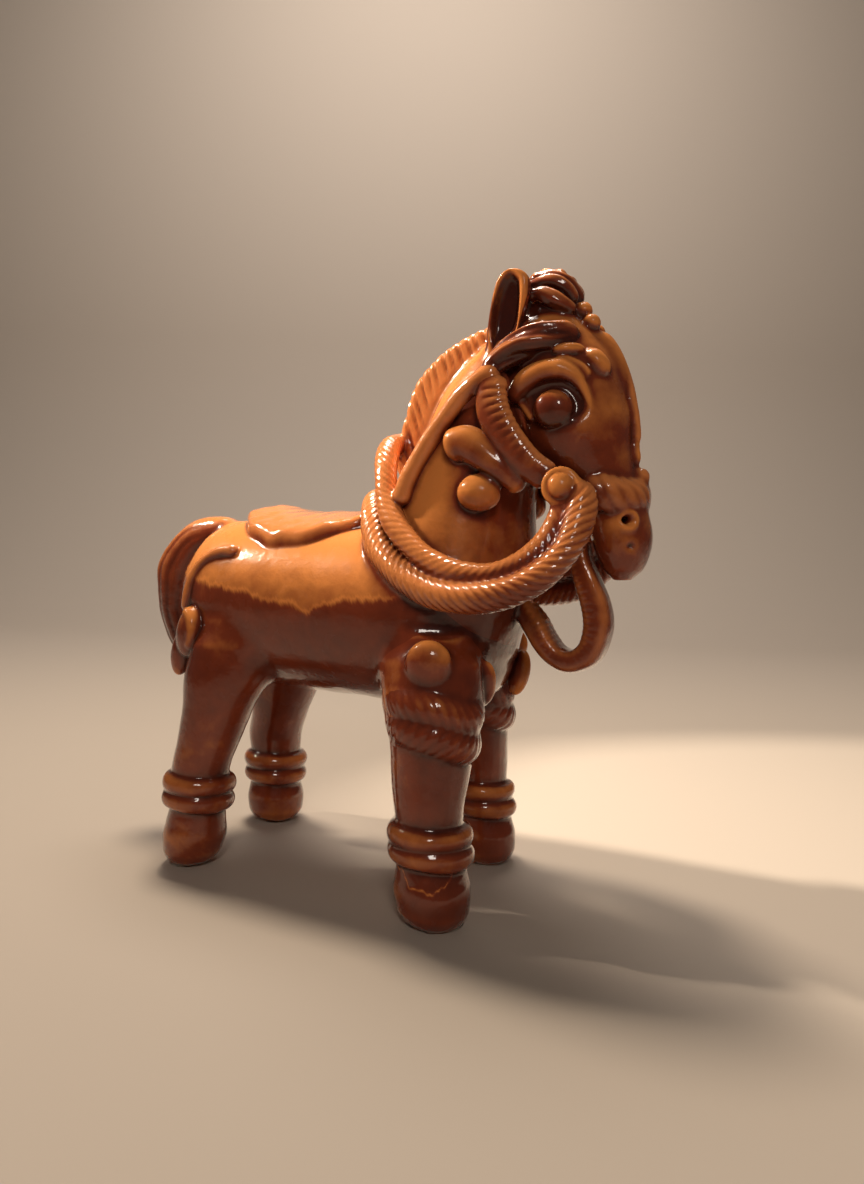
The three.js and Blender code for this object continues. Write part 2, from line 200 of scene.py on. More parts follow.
def ease(t, values, wanted):
    """Monotone cubic through values at t, so that a profile never bulges past its points."""
    t, values = np.asarray(t, float), np.asarray(values, float)
    step = np.diff(t)[:, None]
    slope = np.diff(values, axis=0) / step
    tangent = np.zeros_like(values)
    before, after = slope[:-1], slope[1:]
    same_way = before * after > 0
    with np.errstate(divide="ignore", invalid="ignore"):
        harmonic = 2 * before * after / (before + after)
    tangent[1:-1] = np.where(same_way, harmonic, 0)
    tangent[0], tangent[-1] = slope[0], slope[-1]
    return cubic(t, values, tangent, wanted)


def smooth_line(points, count, closed=False):
    """Evenly spaced points on a smooth line through the given ones, and its length."""
    points = np.asarray(points, float)
    if closed:
        points = np.vstack([points[-2:], points, points[:3]])
    gaps = np.sqrt(np.linalg.norm(np.diff(points, axis=0), axis=1))
    t = np.concatenate([[0], np.cumsum(gaps)])
    tangent = np.gradient(points, t, axis=0)
    ends = (t[2], t[-3]) if closed else (t[0], t[-1])
    fine = np.linspace(*ends, 40 * len(points))
    line = cubic(t, points, tangent, fine)
    run = np.concatenate([[0], np.cumsum(np.linalg.norm(np.diff(line, axis=0), axis=1))])
    even = np.linspace(0, run[-1], count + 1 if closed else count)[:count]
    return np.stack([np.interp(even, run, line[:, k]) for k in range(3)], axis=1), run[-1]


def unit(vectors):
    return vectors / np.linalg.norm(vectors, axis=-1, keepdims=True)


def sweep(centres, a, b, angles, relief=None, closed=False):
    """A closed skin through oval sections: centres and two half-axis vectors a and b at each."""
    cos, sin = np.cos(angles)[None, :, None], np.sin(angles)[None, :, None]
    ring = a[:, None, :] * cos + b[:, None, :] * sin
    if relief is not None:
        length = np.linalg.norm(ring, axis=2, keepdims=True)
        ring = ring * (1 + relief[:, :, None] / np.maximum(length, 1e-3))
    points = (centres[:, None, :] + ring).reshape(-1, 3)
    rows, around = len(centres), len(angles)
    low = np.arange(rows if closed else rows - 1)[:, None] * around
    high = (low + around) % (rows * around)
    i = np.arange(around)[None, :]
    j = (i + 1) % around
    quads = np.stack(np.broadcast_arrays(low + i, low + j, high + j, high + i), axis=-1).reshape(-1, 4)
    if closed:
        return points, quads
    poles = np.array([centres[0], centres[-1]])
    first, top = len(points), (rows - 1) * around
    start = np.stack([j[0], i[0], np.full(around, first), np.full(around, first)], axis=1)
    end = np.stack([top + i[0], top + j[0], np.full(around, first + 1), np.full(around, first + 1)], axis=1)
    return np.vstack([points, poles]), np.vstack([quads, start, end])


def around_angles(count):
    return np.linspace(0, 2 * math.pi, count, endpoint=False)


def loft(centres, a, b, along=90, around=96, relief=None, band=TRIM_BAND):
    """A smooth form through a few oval sections."""
    run = np.concatenate([[0], np.cumsum(np.linalg.norm(np.diff(centres, axis=0), axis=1))])
    wanted = np.linspace(0, run[-1], along)
    rows = ease(run, np.hstack([centres, a, b]), wanted)
    skin = sweep(rows[:, :3], rows[:, 3:6], rows[:, 6:], around_angles(around), relief)
    return block_of(*skin, band=band)


def across_x(rows):
    """Sections of the trunk: x, centre z, half height, half width."""
    x, z, high, wide = np.array(rows, float).T
    nil = np.zeros_like(x)
    return np.stack([x, nil, z], 1), np.stack([nil, wide, nil], 1), np.stack([nil, nil, high], 1)


def across_z(rows):
    """Sections of the neck and legs: z, centre x, centre y, half depth, half width."""
    z, x, y, deep, wide = np.array(rows, float).T
    nil = np.zeros_like(x)
    return np.stack([x, y, z], 1), np.stack([deep, nil, nil], 1), np.stack([nil, wide, nil], 1)


def across_middle(rows):
    """Sections of the head, tail and lead rope: x, z, half depth, half width."""
    x, z, deep, wide = np.array(rows, float).T
    centres = np.stack([x, np.zeros_like(x), z], 1)
    along = unit(np.gradient(centres, axis=0))
    side = np.array([0.0, 1.0, 0.0])
    return centres, side * wide[:, None], np.cross(along, side) * deep[:, None]


RIGHTWARD = (0.0, -1.0, 0.0)


def coil(points, radius, flatten=1.0, notches=None, closed=False, around=40, blunt=1.0, outward=RIGHTWARD):
    """A rolled coil. radius is a number or a function of the share of its length; flatten is its
    thickness over its width, measured along outward; blunt is how round its ends are."""
    _, length = smooth_line(points, 50, closed)
    count = max(24, int(length / (0.45 * VOXEL)))
    centres, length = smooth_line(points, count, closed)
    along = np.roll(centres, -1, 0) - np.roll(centres, 1, 0) if closed else np.gradient(centres, axis=0)
    along = unit(along)
    share = np.arange(count) / (count if closed else count - 1)
    facing = outward(centres) if callable(outward) else np.broadcast_to(outward, centres.shape)
    side = unit(np.cross(along, facing))
    up = np.cross(side, along)
    size = radius(share) if callable(radius) else np.full(count, float(radius))
    if not closed:
        from_end = np.minimum(share, 1 - share) * length / (size.max() * blunt)
        size = size * np.sqrt(np.clip(1 - (1 - np.minimum(from_end, 1)) ** 2, 1e-4, 1))
    angles = around_angles(around)
    relief = None
    if notches is not None:
        relief = notches(share[:, None] * length, angles[None, :])
        if not closed:
            relief = relief * np.clip(from_end - 0.6, 0, 1)[:, None]
    skin = sweep(centres, side * size[:, None], up * (size * flatten)[:, None], angles, relief, closed)
    return block_of(*skin)


def cuts(pitch, depth, turns=0, sharp=2.0, where=None):
    """Slanted knife cuts along a coil, as a change of radius."""

    def relief(run, angle):
        phase = run / pitch + turns * angle / (2 * math.pi)
        cut = -depth * (0.5 + 0.5 * np.cos(2 * math.pi * phase)) ** sharp
        return cut if where is None else cut * where(angle)

    return relief


def facing_axes(facing):
    out = unit(np.array(facing, float))
    across = unit(np.cross([0.0, 0.0, 1.0], out))
    return across, np.cross(out, across), out


def ball_block(centre, half, facing=(1, 0, 0), spin=0.0):
    """An oval pad: half sizes across, up and out along facing, spun about it."""
    across, up, out = facing_axes(facing)
    cos, sin = math.cos(spin), math.sin(spin)
    across, up = across * cos + up * sin, up * cos - across * sin
    polar = np.linspace(0, math.pi, 40)[1:-1]
    centres = np.array(centre, float) + np.outer(-np.cos(polar), out * half[2])
    a = np.outer(np.sin(polar), across * half[0])
    b = np.outer(np.sin(polar), up * half[1])
    return block_of(*sweep(centres, a, b, around_angles(56)))


def mirrored(block):
    """The same form on the horse's other side."""
    values = block.values[:, ::-1, :].copy()
    last = block.last - 1
    return Block([block.first[0], -last[1], block.first[2]], values)


def lay_both(name, block, luting=LUTING):
    """Lays a piece made for the right side, and its mirror image on the left."""
    lay(f"{name}_right", block, luting)
    lay(f"{name}_left", mirrored(block), luting)


def build_up_both(name, block, luting=LUTING):
    build_up(name, block, luting)
    build_up(name, mirrored(block), luting)


def carve_both(block, softness=1.0):
    carve(block, softness)
    carve(mirrored(block), softness)


def outline_distance(outline, u, v):
    """Signed distance from a closed outline, over a plane of u by v; negative inside."""
    outline = np.asarray(outline, float)
    start, end = outline, np.roll(outline, -1, 0)
    best = np.full(np.broadcast(u, v).shape, 1e9, np.float32)
    inside = np.zeros(best.shape, bool)
    for (u0, v0), (u1, v1) in zip(start, end):
        du, dv = u1 - u0, v1 - v0
        share = np.clip(((u - u0) * du + (v - v0) * dv) / max(du * du + dv * dv, 1e-9), 0, 1)
        best = np.minimum(best, (u - u0 - share * du) ** 2 + (v - v0 - share * dv) ** 2)
        if dv != 0:
            crosses = (v0 > v) != (v1 > v)
            inside ^= crosses & (u < u0 + (v - v0) / dv * du)
    distance = np.sqrt(best)
    return np.where(inside, -distance, distance).astype(np.float32)


def round_outline(points, count=90):
    """A smooth closed outline through a few points."""
    flat = np.column_stack([np.asarray(points, float), np.zeros(len(points))])
    return smooth_line(flat, count, closed=True)[0][:, :2]


# -------- trunk, neck, head and legs
TRUNK = [
    (-101, 134, 6, 6),
    (-98, 133, 17, 17),
    (-91, 132, 29, 29),
    (-80, 131, 37.5, 38),
    (-62, 130, 41.5, 43),
    (-35, 129, 42.5, 45),
    (-5, 128.5, 42.5, 45.5),
    (25, 128, 43, 46.5),
    (44, 126.5, 42, 45),
    (58, 124, 37, 38),
    (68, 120, 28, 27),
    (74, 117, 15, 14.5),
    (75.5, 116, 5, 5),
]
NECK = [
    (112, 44, 0, 30, 34),
    (140, 46, 0, 38, 40),
    (160, 47.5, 0, 36.5, 37),
    (180, 51, 0, 33, 33.5),
    (200, 58, 0, 30.5, 30),
    (220, 66, 0, 28, 26),
    (238, 72, 0, 22, 21),
    (250, 76, 0, 14, 14),
    (255, 77, 0, 5, 5),
]
HEAD = [
    (84, 260, 7, 7),
    (87, 253, 17, 18),
    (91, 240, 23.5, 24.5),
    (97, 225, 26, 27),
    (103, 209, 25.5, 27),
    (110, 193, 20.5, 22.5),
    (118, 182, 15.5, 17),
    (123, 171, 13, 15.5),
    (125, 160, 11.5, 14.5),
    (125.5, 151, 8.5, 11),
    (125.5, 146, 4, 5),
]
NECK_LUTING = 8.0
HEAD_LUTING = 5.0
LEG_LUTING = 8.0


def make_trunk():
    block = loft(*across_x(TRUNK), along=200, around=200, band=BODY_BAND)
    lay("trunk", block)
    return block


def make_neck_and_head():
    lay("neck", loft(*across_z(NECK), along=160, around=160, band=BODY_BAND), NECK_LUTING)
    lay("head", loft(*across_middle(HEAD), along=160, around=140, band=BODY_BAND), HEAD_LUTING)


# Height and half width up a leg: hoof, ankle, shank, and the thigh that runs up into the trunk.
LEG_PROFILE = [
    (0, 6.5), (0.9, 9.5), (3.5, 13.2), (8, 15.6), (15, 16.4), (22, 15), (30, 13.6), (48, 14.8),
    (62, 15.8), (78, 17.8), (94, 20), (108, 19), (119, 12),
]
KNEE_HEIGHT = 50
HIP_HEIGHT = 100
# Foot, knee and hip as x and y; girth scales the profile; thigh deepens its top.
LEGS = {
    "front_right": ((61, -39), (57, -39), (54, -32), 1.0, 1.1),
    "front_left": ((53, 41), (47.5, 40), (44, 32), 0.94, 1.05),
    "rear_right": ((-73.5, -37), (-67, -38), (-56, -31), 0.93, 1.15),
    "rear_left": ((-79, 38), (-80, 38), (-66, 31), 0.98, 1.18),
}


def leg_axis(name, z):
    """Where a leg's middle is at a height."""
    foot, knee, hip, _, _ = LEGS[name]
    heights = (0, KNEE_HEIGHT, HIP_HEIGHT)
    return [np.interp(z, heights, [foot[k], knee[k], hip[k]]) for k in (0, 1)]


def make_leg(name):
    *_, girth, thigh = LEGS[name]
    rows = []
    for z, half in LEG_PROFILE:
        x, y = leg_axis(name, z)
        upper = fade(z, KNEE_HEIGHT, HIP_HEIGHT)
        wide = half * girth
        rows.append((z, x, y, wide * (1 + (thigh - 1) * upper), wide))
    lay(f"{name}_leg", loft(*across_z(rows), along=200, band=BODY_BAND), LEG_LUTING)


def flatten_soles():
    """The feet stand on small flat soles."""
    _, _, z = whole.axes()
    low = slice(0, int(3 / VOXEL - GRID_FIRST[2]))
    clay[:, :, low] = smooth_max(clay[:, :, low], -z[:, :, low], 0.8)


# -------- coils on the legs
def node_middle(node):
    """The middle and half size of a CAD node, in millimetres."""
    low, high = (np.array(corner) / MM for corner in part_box(node))
    return (low + high) / 2, (high - low) / 2


def ring_points(turn, centre, reach, rise):
    """Points round a leg: angles from the front, and the reach and rise at each."""
    x, y, z = centre
    return np.stack([x + reach * np.cos(turn), y + reach * np.sin(turn), z + rise], axis=1)


def ring_coil(ring, radius, flatten, centre, notches=None):
    """A closed coil, flattened against the leg or muzzle that it goes round."""

    def outward(points):
        return unit((points - centre) * [1, 1, 0])

    return coil(ring, radius, flatten, notches, closed=True, outward=outward)


ANKLET_COIL = 4.5
ANKLET_FLATTEN = 0.86


def make_anklets():
    turn = around_angles(24)
    for leg in LEGS:
        for order, place in enumerate(("upper", "lower")):
            node = f"{leg}_anklet_{place}"
            centre, half = node_middle(node)
            tilt = 0.5 + 0.3 * order
            reach = max(half[0], half[1]) - ANKLET_COIL * ANKLET_FLATTEN
            ring = ring_points(turn, centre, reach, tilt * np.cos(turn + 2.1))

            def uneven(share, k=order):
                return ANKLET_COIL * (1 + 0.05 * np.sin(2 * math.pi * (2 * share + 0.3 * k)))

            lay(node, ring_coil(ring, uneven, ANKLET_FLATTEN, centre), luting=1.3)


KNEE_COIL = 6.8
KNEE_FLATTEN = 0.66
KNEE_SLOPE = 1.8  # how far a band sits lower at the front than at the side
# Which way each band's cuts are twisted, and how far its front point is drawn down.
KNEE_BANDS = {"upper": (6, 3.0), "lower": (-5, 3.6)}


def make_knee_bands():
    """Two notched rolls round each front leg, drawn down to a point at the front."""
    turn = around_angles(32)
    front = np.maximum(np.cos(turn), 0)
    point = 0.9 * front**6 - 0.4
    for leg in ("front_right", "front_left"):
        for place, (twist, drop) in KNEE_BANDS.items():
            node = f"{leg}_knee_band_{place}"
            centre, half = node_middle(node)
            reach = max(half[0], half[1]) - KNEE_COIL * KNEE_FLATTEN
            rise = 2.0 - KNEE_SLOPE * np.cos(turn) - drop * front**3
            ring = ring_points(turn, centre, reach + point, rise)
            notches = cuts(pitch=3.9, depth=0.32, turns=twist, sharp=3.0)
            lay(node, ring_coil(ring, KNEE_COIL, KNEE_FLATTEN, centre, notches), luting=2.2)


# -------- mane, ears and tail
MANE_OUTLINE = [(17, 194), (17.2, 206), (20.5, 221), (27, 236), (37, 247.5), (51, 255.5), (66, 258.5)]
MANE_ROOT = [(76, 252), (76, 236), (60, 232), (46, 216), (40, 196), (34, 180)]
MANE_HALF = 7.0
MANE_CUT = 4.6  # spacing of the knife cuts
MANE_CUT_LENGTH = 15.0
MANE_CUT_LEAN = 0.34  # sideways run of a cut for each millimetre down
MANE_CUT_DEPTH = 1.1  # in the crest's sides
MANE_NICK = 0.5  # in its edge


def make_mane():
    """A crest with long knife cuts running down from its edge."""
    outline = round_outline(MANE_OUTLINE + MANE_ROOT, 140)
    block = empty_block((8, -16, 172), (86, 16, 268))
    x, y, z = block.axes()
    edge = outline_distance(outline, x[:, :, 0], z[0])[:, None, :]
    crest = smooth_line([(u, 0, w) for u, w in MANE_OUTLINE], 160)[0]
    to_crest = np.full(edge.shape, 1e9, np.float32)
    for u, _, w in crest[::2]:
        to_crest = np.minimum(to_crest, (x - u) ** 2 + (z - w) ** 2)
    to_crest = np.sqrt(to_crest)
    lane = (x + MANE_CUT_LEAN * (z - 230)) / MANE_CUT
    lane = lane + 0.12 * np.sin(lane * 2.3)
    cut = np.maximum(np.cos(2 * math.pi * lane), 0) ** 5
    cut = cut * fade(to_crest, MANE_CUT_LENGTH, MANE_CUT_LENGTH - 5) * fade(x, 78, 72)
    half = MANE_HALF - 1.2 * fade(to_crest, 14, 0) - MANE_CUT_DEPTH * cut
    shape = smooth_max(edge + MANE_NICK * cut * fade(to_crest, 5, 0), np.abs(y) - half, 5.0)
    block.values[:] = np.clip(shape, -TRIM_BAND, TRIM_BAND)
    lay("mane", block, luting=3.0)


EARS = {"right": ((76.5, -17, 243), 34), "left": ((81, 17, 248), 40)}
EAR_RIM = 1.2
EAR_RIM_SWELL = 2.6  # how much thicker the front of the rim is, near the tip
EAR_FACE = 3.9  # how far its rim stands out from its middle
EAR_BACK = 4.4  # and its back stands behind
EAR_DEPTH = 6.6  # of the hollow


def make_ear(side, foot, tip):
    """A leaf of clay cupped like a spoon, with a thick rim, its hollow turned out."""
    sign = -1 if side == "right" else 1
    leaf = [(-6.5, -7), (-9.5, 0.16 * tip), (-9.6, 0.4 * tip), (-7.5, 0.7 * tip), (-4.5, 0.91 * tip)]
    leaf += [(0, tip), (5, 0.97 * tip), (8.8, 0.86 * tip), (9.2, 0.68 * tip), (7.5, 0.42 * tip)]
    leaf += [(6, 0.2 * tip), (4, -7)]
    outline = round_outline(leaf, 120)
    foot = np.array(foot, float)
    block = empty_block(foot - (22, 14, 18), foot + (22, 14, tip + 8))
    x, y, z = (axis - base for axis, base in zip(block.axes(), foot))
    edge = outline_distance(outline, x[:, :, 0], z[0])[:, None, :]
    belly = np.clip(1 - ((z - 0.42 * tip) / (0.85 * tip)) ** 2, 0, 1)
    outer = sign * y - (EAR_FACE - 0.012 * (x - 4) ** 2)
    rim = EAR_RIM + EAR_RIM_SWELL * fade(x, 1, 7) * np.clip(z / tip - 0.3, 0, 1)
    hollow = sign * y - (EAR_FACE + EAR_RIM) + EAR_DEPTH * belly * fade(-edge, rim, rim + 3.6) ** 0.7
    back = -(sign * y) - EAR_BACK - 1.2 * belly + 0.02 * x**2
    shape = smooth_max(smooth_max(edge, np.maximum(outer, hollow), 2.4), back, 3.5)
    block.values[:] = np.clip(shape, -TRIM_BAND, TRIM_BAND)
    lay(f"ear_{side}", block, luting=3.0)


TAIL = [
    (-76, 164, 5, 6),
    (-88, 164, 9, 8),
    (-101, 161, 12, 9.5),
    (-112, 152, 14, 10.5),
    (-119, 139, 14.5, 11),
    (-119, 124, 12.5, 10.5),
    (-115, 110, 10.5, 9.5),
    (-110, 99, 7.5, 8),
    (-107, 92, 3, 4),
]
TAIL_LINES = 12
TAIL_COMBING = 0.45


def make_tail():
    """A broad arched tail with combed hair lines."""
    along, around = 170, 120
    angles = around_angles(around)[None, :]
    share = np.linspace(0, 1, along)[:, None]
    combed = 0.5 + 0.5 * np.cos(TAIL_LINES * angles + 0.6 * np.sin(5 * share * math.pi))
    relief = -TAIL_COMBING * combed**2 * np.clip((share - 0.18) * 6, 0, 1) * np.clip((1 - share) * 8, 0, 1)
    lay("tail", loft(*across_middle(TAIL), along, around, relief), luting=4.0)


# -------- saddle cloth and crupper
CLOTH_HALF = [
    (-64, 0), (-62.5, 12), (-57, 22), (-47, 29.5), (-36, 33.5), (-24, 34.5), (-12, 31.5), (0, 26),
    (12, 18.5), (24, 11), (34, 0),
]
CLOTH_THICKNESS = 4.3
CLOTH_WAVES = 0.35  # in its outline
CLOTH_CRINKLE = 0.2
CLOTH_RIBS = 0.3
CLOTH_EDGE_ROLL = 0.9
CANTLE_HEIGHT = 3.4  # the raised rear of the seat


def make_saddle_cloth(trunk_block):
    """A leaf of clay pressed on the back, its edge pinched into waves."""
    outline = round_outline(CLOTH_HALF + [(x, -y) for x, y in CLOTH_HALF[-2:0:-1]], 160)
    block = empty_block((-72, -46, 140), (44, 46, 188))
    x, y, _ = block.axes()
    plan = outline_distance(outline, x[:, :, 0], y[:, :, 0])[:, :, None]
    bearing = np.arctan2(y, x + 22)
    waves = CLOTH_WAVES * np.sin(11 * bearing + 0.8 * np.sin(3 * bearing))
    near_edge = np.clip(1 + plan / 9, 0, 1)
    crinkle = np.sin(x * 0.55 + 0.5 * np.sin(y * 0.31)) * np.sin(y * 0.42 + 0.6 * np.sin(x * 0.23))
    ribs = CLOTH_RIBS * np.sin(11 * bearing + 1.2) * near_edge
    cantle = CANTLE_HEIGHT * np.exp(-(((x + 51) / 11) ** 2) - (y / 18) ** 2)
    skin = np.full(block.values.shape, BODY_BAND, np.float32)
    mine, its = windows(block, trunk_block)
    skin[mine] = trunk_block.values[its]
    thickness = CLOTH_THICKNESS + CLOTH_CRINKLE * crinkle + ribs + cantle + CLOTH_EDGE_ROLL * near_edge
    top = skin - thickness
    block.values[:] = np.clip(smooth_max(top, plan + waves, 3.2), -TRIM_BAND, TRIM_BAND)
    lay("saddle_cloth", block, luting=0.9)


CRUPPER = [
    (-50, -35.5, 154), (-59, -35.2, 153.8), (-67, -35.6, 151), (-72.6, -36.8, 146.5),
    (-75.8, -38, 140), (-77.8, -38.3, 132), (-79.5, -37.4, 124),
]


def make_crupper():
    def girth(share):
        return 4.2 - 1.4 * fade(share, 0, 0.5) - 0.6 * fade(share, 0.125, 0)

    lay_both("crupper_strap", coil(CRUPPER, girth), luting=0.9)


HIP_FACING = (-0.35, -1, 0.05)
# Forms like these are a ball_block's centre, half sizes, facing and spin.
HIP_LOWER_LEAF = ((-80.5, -38.5, 104.5), (6.2, 13, 5), HIP_FACING, -0.3)
HIP_UPPER_LEAF = ((-73.5, -41.5, 114.5), (8, 12.4, 5.4), HIP_FACING, -0.2)


def make_hip_boss():
    """Two overlapping leaves on the haunch, the upper one with a rolled front edge."""
    centre = np.array(HIP_UPPER_LEAF[0])
    across, up, out = facing_axes(HIP_FACING)
    arc = np.linspace(-0.75, 1.75, 10)
    edge = [centre + across * 6.2 * math.cos(t) + up * 9.8 * math.sin(t) + out * 2.6 for t in arc]
    roll = coil(edge, lambda share: 1.5 - 0.5 * np.clip(1 - 3 * share, 0, 1), outward=out)
    upper = join(ball_block(*HIP_UPPER_LEAF), roll, luting=2.4)
    lay_both("hip_boss", join(upper, ball_block(*HIP_LOWER_LEAF), luting=0.6), luting=1.2)


# -------- face
BROW = [
    (81.5, -22.5, 219.5), (86.4, -25, 225), (92, -26.8, 228.8), (98, -26.8, 230.6),
    (103, -26, 230.5), (107.5, -24.8, 228.4), (111, -23.2, 224.6), (113.6, -22.2, 219.4),
    (115.2, -21.8, 213.6),
]
UPPER_FOLD = [(100.5, -25, 234.6), (105.5, -24, 234.3), (110, -22.4, 232.2), (113.6, -20.2, 228)]
REAR_LID = [(85.6, -24, 219), (88.4, -24.3, 215.2), (92, -25.8, 210.8)]
SOCKET_EDGE = [
    (96, -28, 226), (102.5, -28.3, 226), (108, -26.6, 223), (111.6, -25.2, 217.6), (111.2, -25.2, 212.5),
]
FRONT_LID = [(105, -26.3, 209.6), (110, -23.6, 210.6), (115.5, -19.4, 211.4)]
LID_RADIUS = 1.2
FOLD_RADIUS = 2.0
FOREHEAD_BUMP = [(110.5, -16.5, 239.5), (115, -15.6, 234.5), (118.8, -13, 229.5)]
FOREHEAD = [(107, 0, 250), (114, 0, 242), (119.5, 0, 232), (122.5, 0, 222)]
EYE_CENTRE = np.array([100.8, -25.3, 215])
EYE_HALF = (8.4, 8.4, 6.2)
EYE_FACING = (0.15, -1, 0)
SOCKET = (EYE_CENTRE + (0.8, -3.2, 2.2), (15, 9.6, 4.6), EYE_FACING, -0.12)
FOREHEAD_PAD = ((104.6, -21.4, 239), (6.8, 2.9, 4.2), (0.55, -0.8, 0.25), 0.12)


def bulging(thin, more):
    """A radius that swells in the middle of a coil."""
    return lambda share: thin + more * np.sin(math.pi * share)


def brow_radius(share):
    """Thick over the eye, thin where it runs down in front of it."""
    return 4.6 - 3.4 * np.clip(2.4 * share - 1.25, 0, 1) - 0.8 * np.clip(1 - 5 * share, 0, 1)


def make_face():
    """Eye sockets, lids, the folds over them, the forehead, the eyes and the brows."""
    carve_both(ball_block(*SOCKET), softness=2.0)
    carve_both(coil(SOCKET_EDGE, bulging(1.1, 1.2)), softness=1.6)
    for line, radius in ((FRONT_LID, LID_RADIUS), (REAR_LID, LID_RADIUS), (UPPER_FOLD, FOLD_RADIUS)):
        build_up_both("head", coil(line, radius), luting=1.6)
    build_up_both("head", ball_block(*FOREHEAD_PAD), luting=0.6)
    build_up_both("head", coil(FOREHEAD_BUMP, bulging(3.4, 1.2)), luting=1.2)
    build_up("head", coil(FOREHEAD, lambda share: 7.5 - 3.5 * share), luting=3.0)
    lay_both("eye", ball_block(EYE_CENTRE, EYE_HALF, EYE_FACING), luting=0.5)
    lay_both("brow_ridge", coil(BROW, brow_radius), luting=1.6)


NOSTRIL = np.array([130.2, -12.9, 171])
NOSTRIL_PASSAGE = [(120, -6, 170.2), (138, -21, 172)]
NOSTRIL_RADIUS = 2.1
NOSTRIL_FACING = (0.62, -0.78, 0.05)
LIPS = ((127, 0, 165.5), (11, 9.5, 8.2))
DIMPLE = ((131, -12.5, 160.5), (1.5, 1.2, 1.6), (0.6, -0.8, 0))


def make_muzzle():
    """Lips, pierced nostrils with raised rims, and a dimple below each."""
    rim = ring_round(NOSTRIL, NOSTRIL_FACING, 3.3)
    build_up_both("head", coil(rim, 0.6, closed=True), luting=2.2)
    build_up("head", ball_block(*LIPS), luting=4.0)
    carve_both(coil(NOSTRIL_PASSAGE, NOSTRIL_RADIUS), softness=1.0)
    carve_both(ball_block(*DIMPLE), softness=1.2)


def ring_round(centre, facing, radius, count=12):
    across, up, _ = facing_axes(facing)
    return [centre + radius * (across * math.cos(t) + up * math.sin(t)) for t in around_angles(count)]


NOSEBAND_CENTRE = np.array([117.0, 0.0, 182.8])
NOSEBAND_REACH = (14.4, 16.4)  # along and across the head
NOSEBAND_LEAN = 0.12
NOSEBAND_COIL = 7.8
NOSEBAND_FLATTEN = 0.62
NOSEBAND_KNOB = ((131.6, 0, 190), (4.6, 4.2, 4.2), (1, 0, 0.5))


def make_noseband():
    """A notched band with a knob over the nose, where the face strap ends."""
    turn = around_angles(32)
    x, y = NOSEBAND_REACH[0] * np.cos(turn), NOSEBAND_REACH[1] * np.sin(turn)
    ring = NOSEBAND_CENTRE + np.stack([x, y, -NOSEBAND_LEAN * x + 0.8 * np.cos(3 * turn)], axis=1)
    notches = cuts(pitch=5.6, depth=0.4, turns=5, sharp=3.0)
    band = ring_coil(ring, NOSEBAND_COIL, NOSEBAND_FLATTEN, NOSEBAND_CENTRE, notches)
    lay("noseband", join(band, ball_block(*NOSEBAND_KNOB), luting=2.5), luting=1.0)


FACE_LINE = [(107.5, 0, 251.5), (116, 0, 242), (123, 0, 228.5), (127.2, 0, 214.5), (128.6, 0, 203)]
PENDANT_FACING = (1, 0, 0.1)
PENDANT_DROP = ((128.2, 0, 198.4), (3.5, 5.4, 3.6), PENDANT_FACING)
PENDANT_BEAD = ((128.2, 0, 203.5), (2.6, 2.6, 2.6), PENDANT_FACING)


def make_face_strap():
    lay("face_strap", coil(FACE_LINE, lambda s: 3.5 - 0.5 * s), luting=0.6)
    lay("face_pendant", join(ball_block(*PENDANT_DROP), ball_block(*PENDANT_BEAD)), luting=0.9)


# -------- forelock, topknot and berries
FORELOCK = [
    (70.5, -29, 227.5), (76.5, -28, 235), (84, -26, 240.8), (92, -23.3, 244), (99.5, -18.8, 246.2),
    (105.5, -12, 248),
]


def make_forelock():
    """A twisted lock of mane drawn forward round the poll, thin at its rear end."""

    def girth(share):
        return 3.2 + 4.6 * np.clip(share * 2, 0, 1) ** 0.8 - 1.6 * np.clip(share * 3 - 2, 0, 1)

    def strands(run, angle):
        coarse = cuts(pitch=34, depth=1.4, turns=4, sharp=1.6)(run, angle)
        fine = cuts(pitch=22, depth=0.5, turns=11, sharp=2.0)(run, angle)
        return coarse + fine

    lay_both("forelock", coil(FORELOCK, girth, notches=strands, around=96), luting=1.0)


TOPKNOT_STEM = [
    (241, 88, 0, 10, 10),
    (246, 89.5, 0, 14, 13),
    (255, 90, 0, 13.6, 13),
    (264, 89.5, 0, 13, 12),
    (270, 89.5, 0, 11, 10),
    (273.5, 89.5, 0, 5, 5),
]
# The radius of each fold and the points it runs through.
TOPKNOT_FOLDS = [
    (3.3, [(79.5, -5, 266.5), (83.5, -8.5, 270.5), (89.5, -9.5, 272.3),
           (95, -9, 271.6), (99.5, -7, 268.5), (102, -4, 263.5)]),
    (3.9, [(84.5, -11, 265), (89, -12.8, 266), (94, -12.8, 263.8), (99.5, -10.3, 261), (102.5, -6, 259.5)]),
    (4.0, [(80, 1, 271), (84.5, -3, 275), (90, -4, 275.6),
           (96, -3.5, 273.6), (100, -1, 269), (101.5, 3, 264.5)]),
    (4.0, [(83, 8, 270), (90, 7.5, 275), (97, 6, 273), (101, 5, 267)]),
]
TOPKNOT_KNOBS = [((84.5, -4, 275.5), 3.6), ((93, 0, 277), 3.8), ((97.5, -1, 273.4), 3.6)]


def make_topknot():
    """A tied stem with rolled folds wrapped over its top, leaning forward."""
    stem = loft(*across_z(TOPKNOT_STEM), around=80)
    wrinkles = cuts(pitch=40, depth=0.3, turns=5)
    folds = [coil(line, bulging(0.72 * r, 0.28 * r), notches=wrinkles) for r, line in TOPKNOT_FOLDS]
    knobs = [ball_block(centre, (r, r, r)) for centre, r in TOPKNOT_KNOBS]
    lay("topknot", join(stem, *folds, *knobs, luting=0.8), luting=2.0)


BERRY_RADIUS = 4.1
BERRIES = {"top": (105, -2, 260.5), "right": (109.4, -4.4, 254.6), "left": (109.2, 3.6, 252.4)}


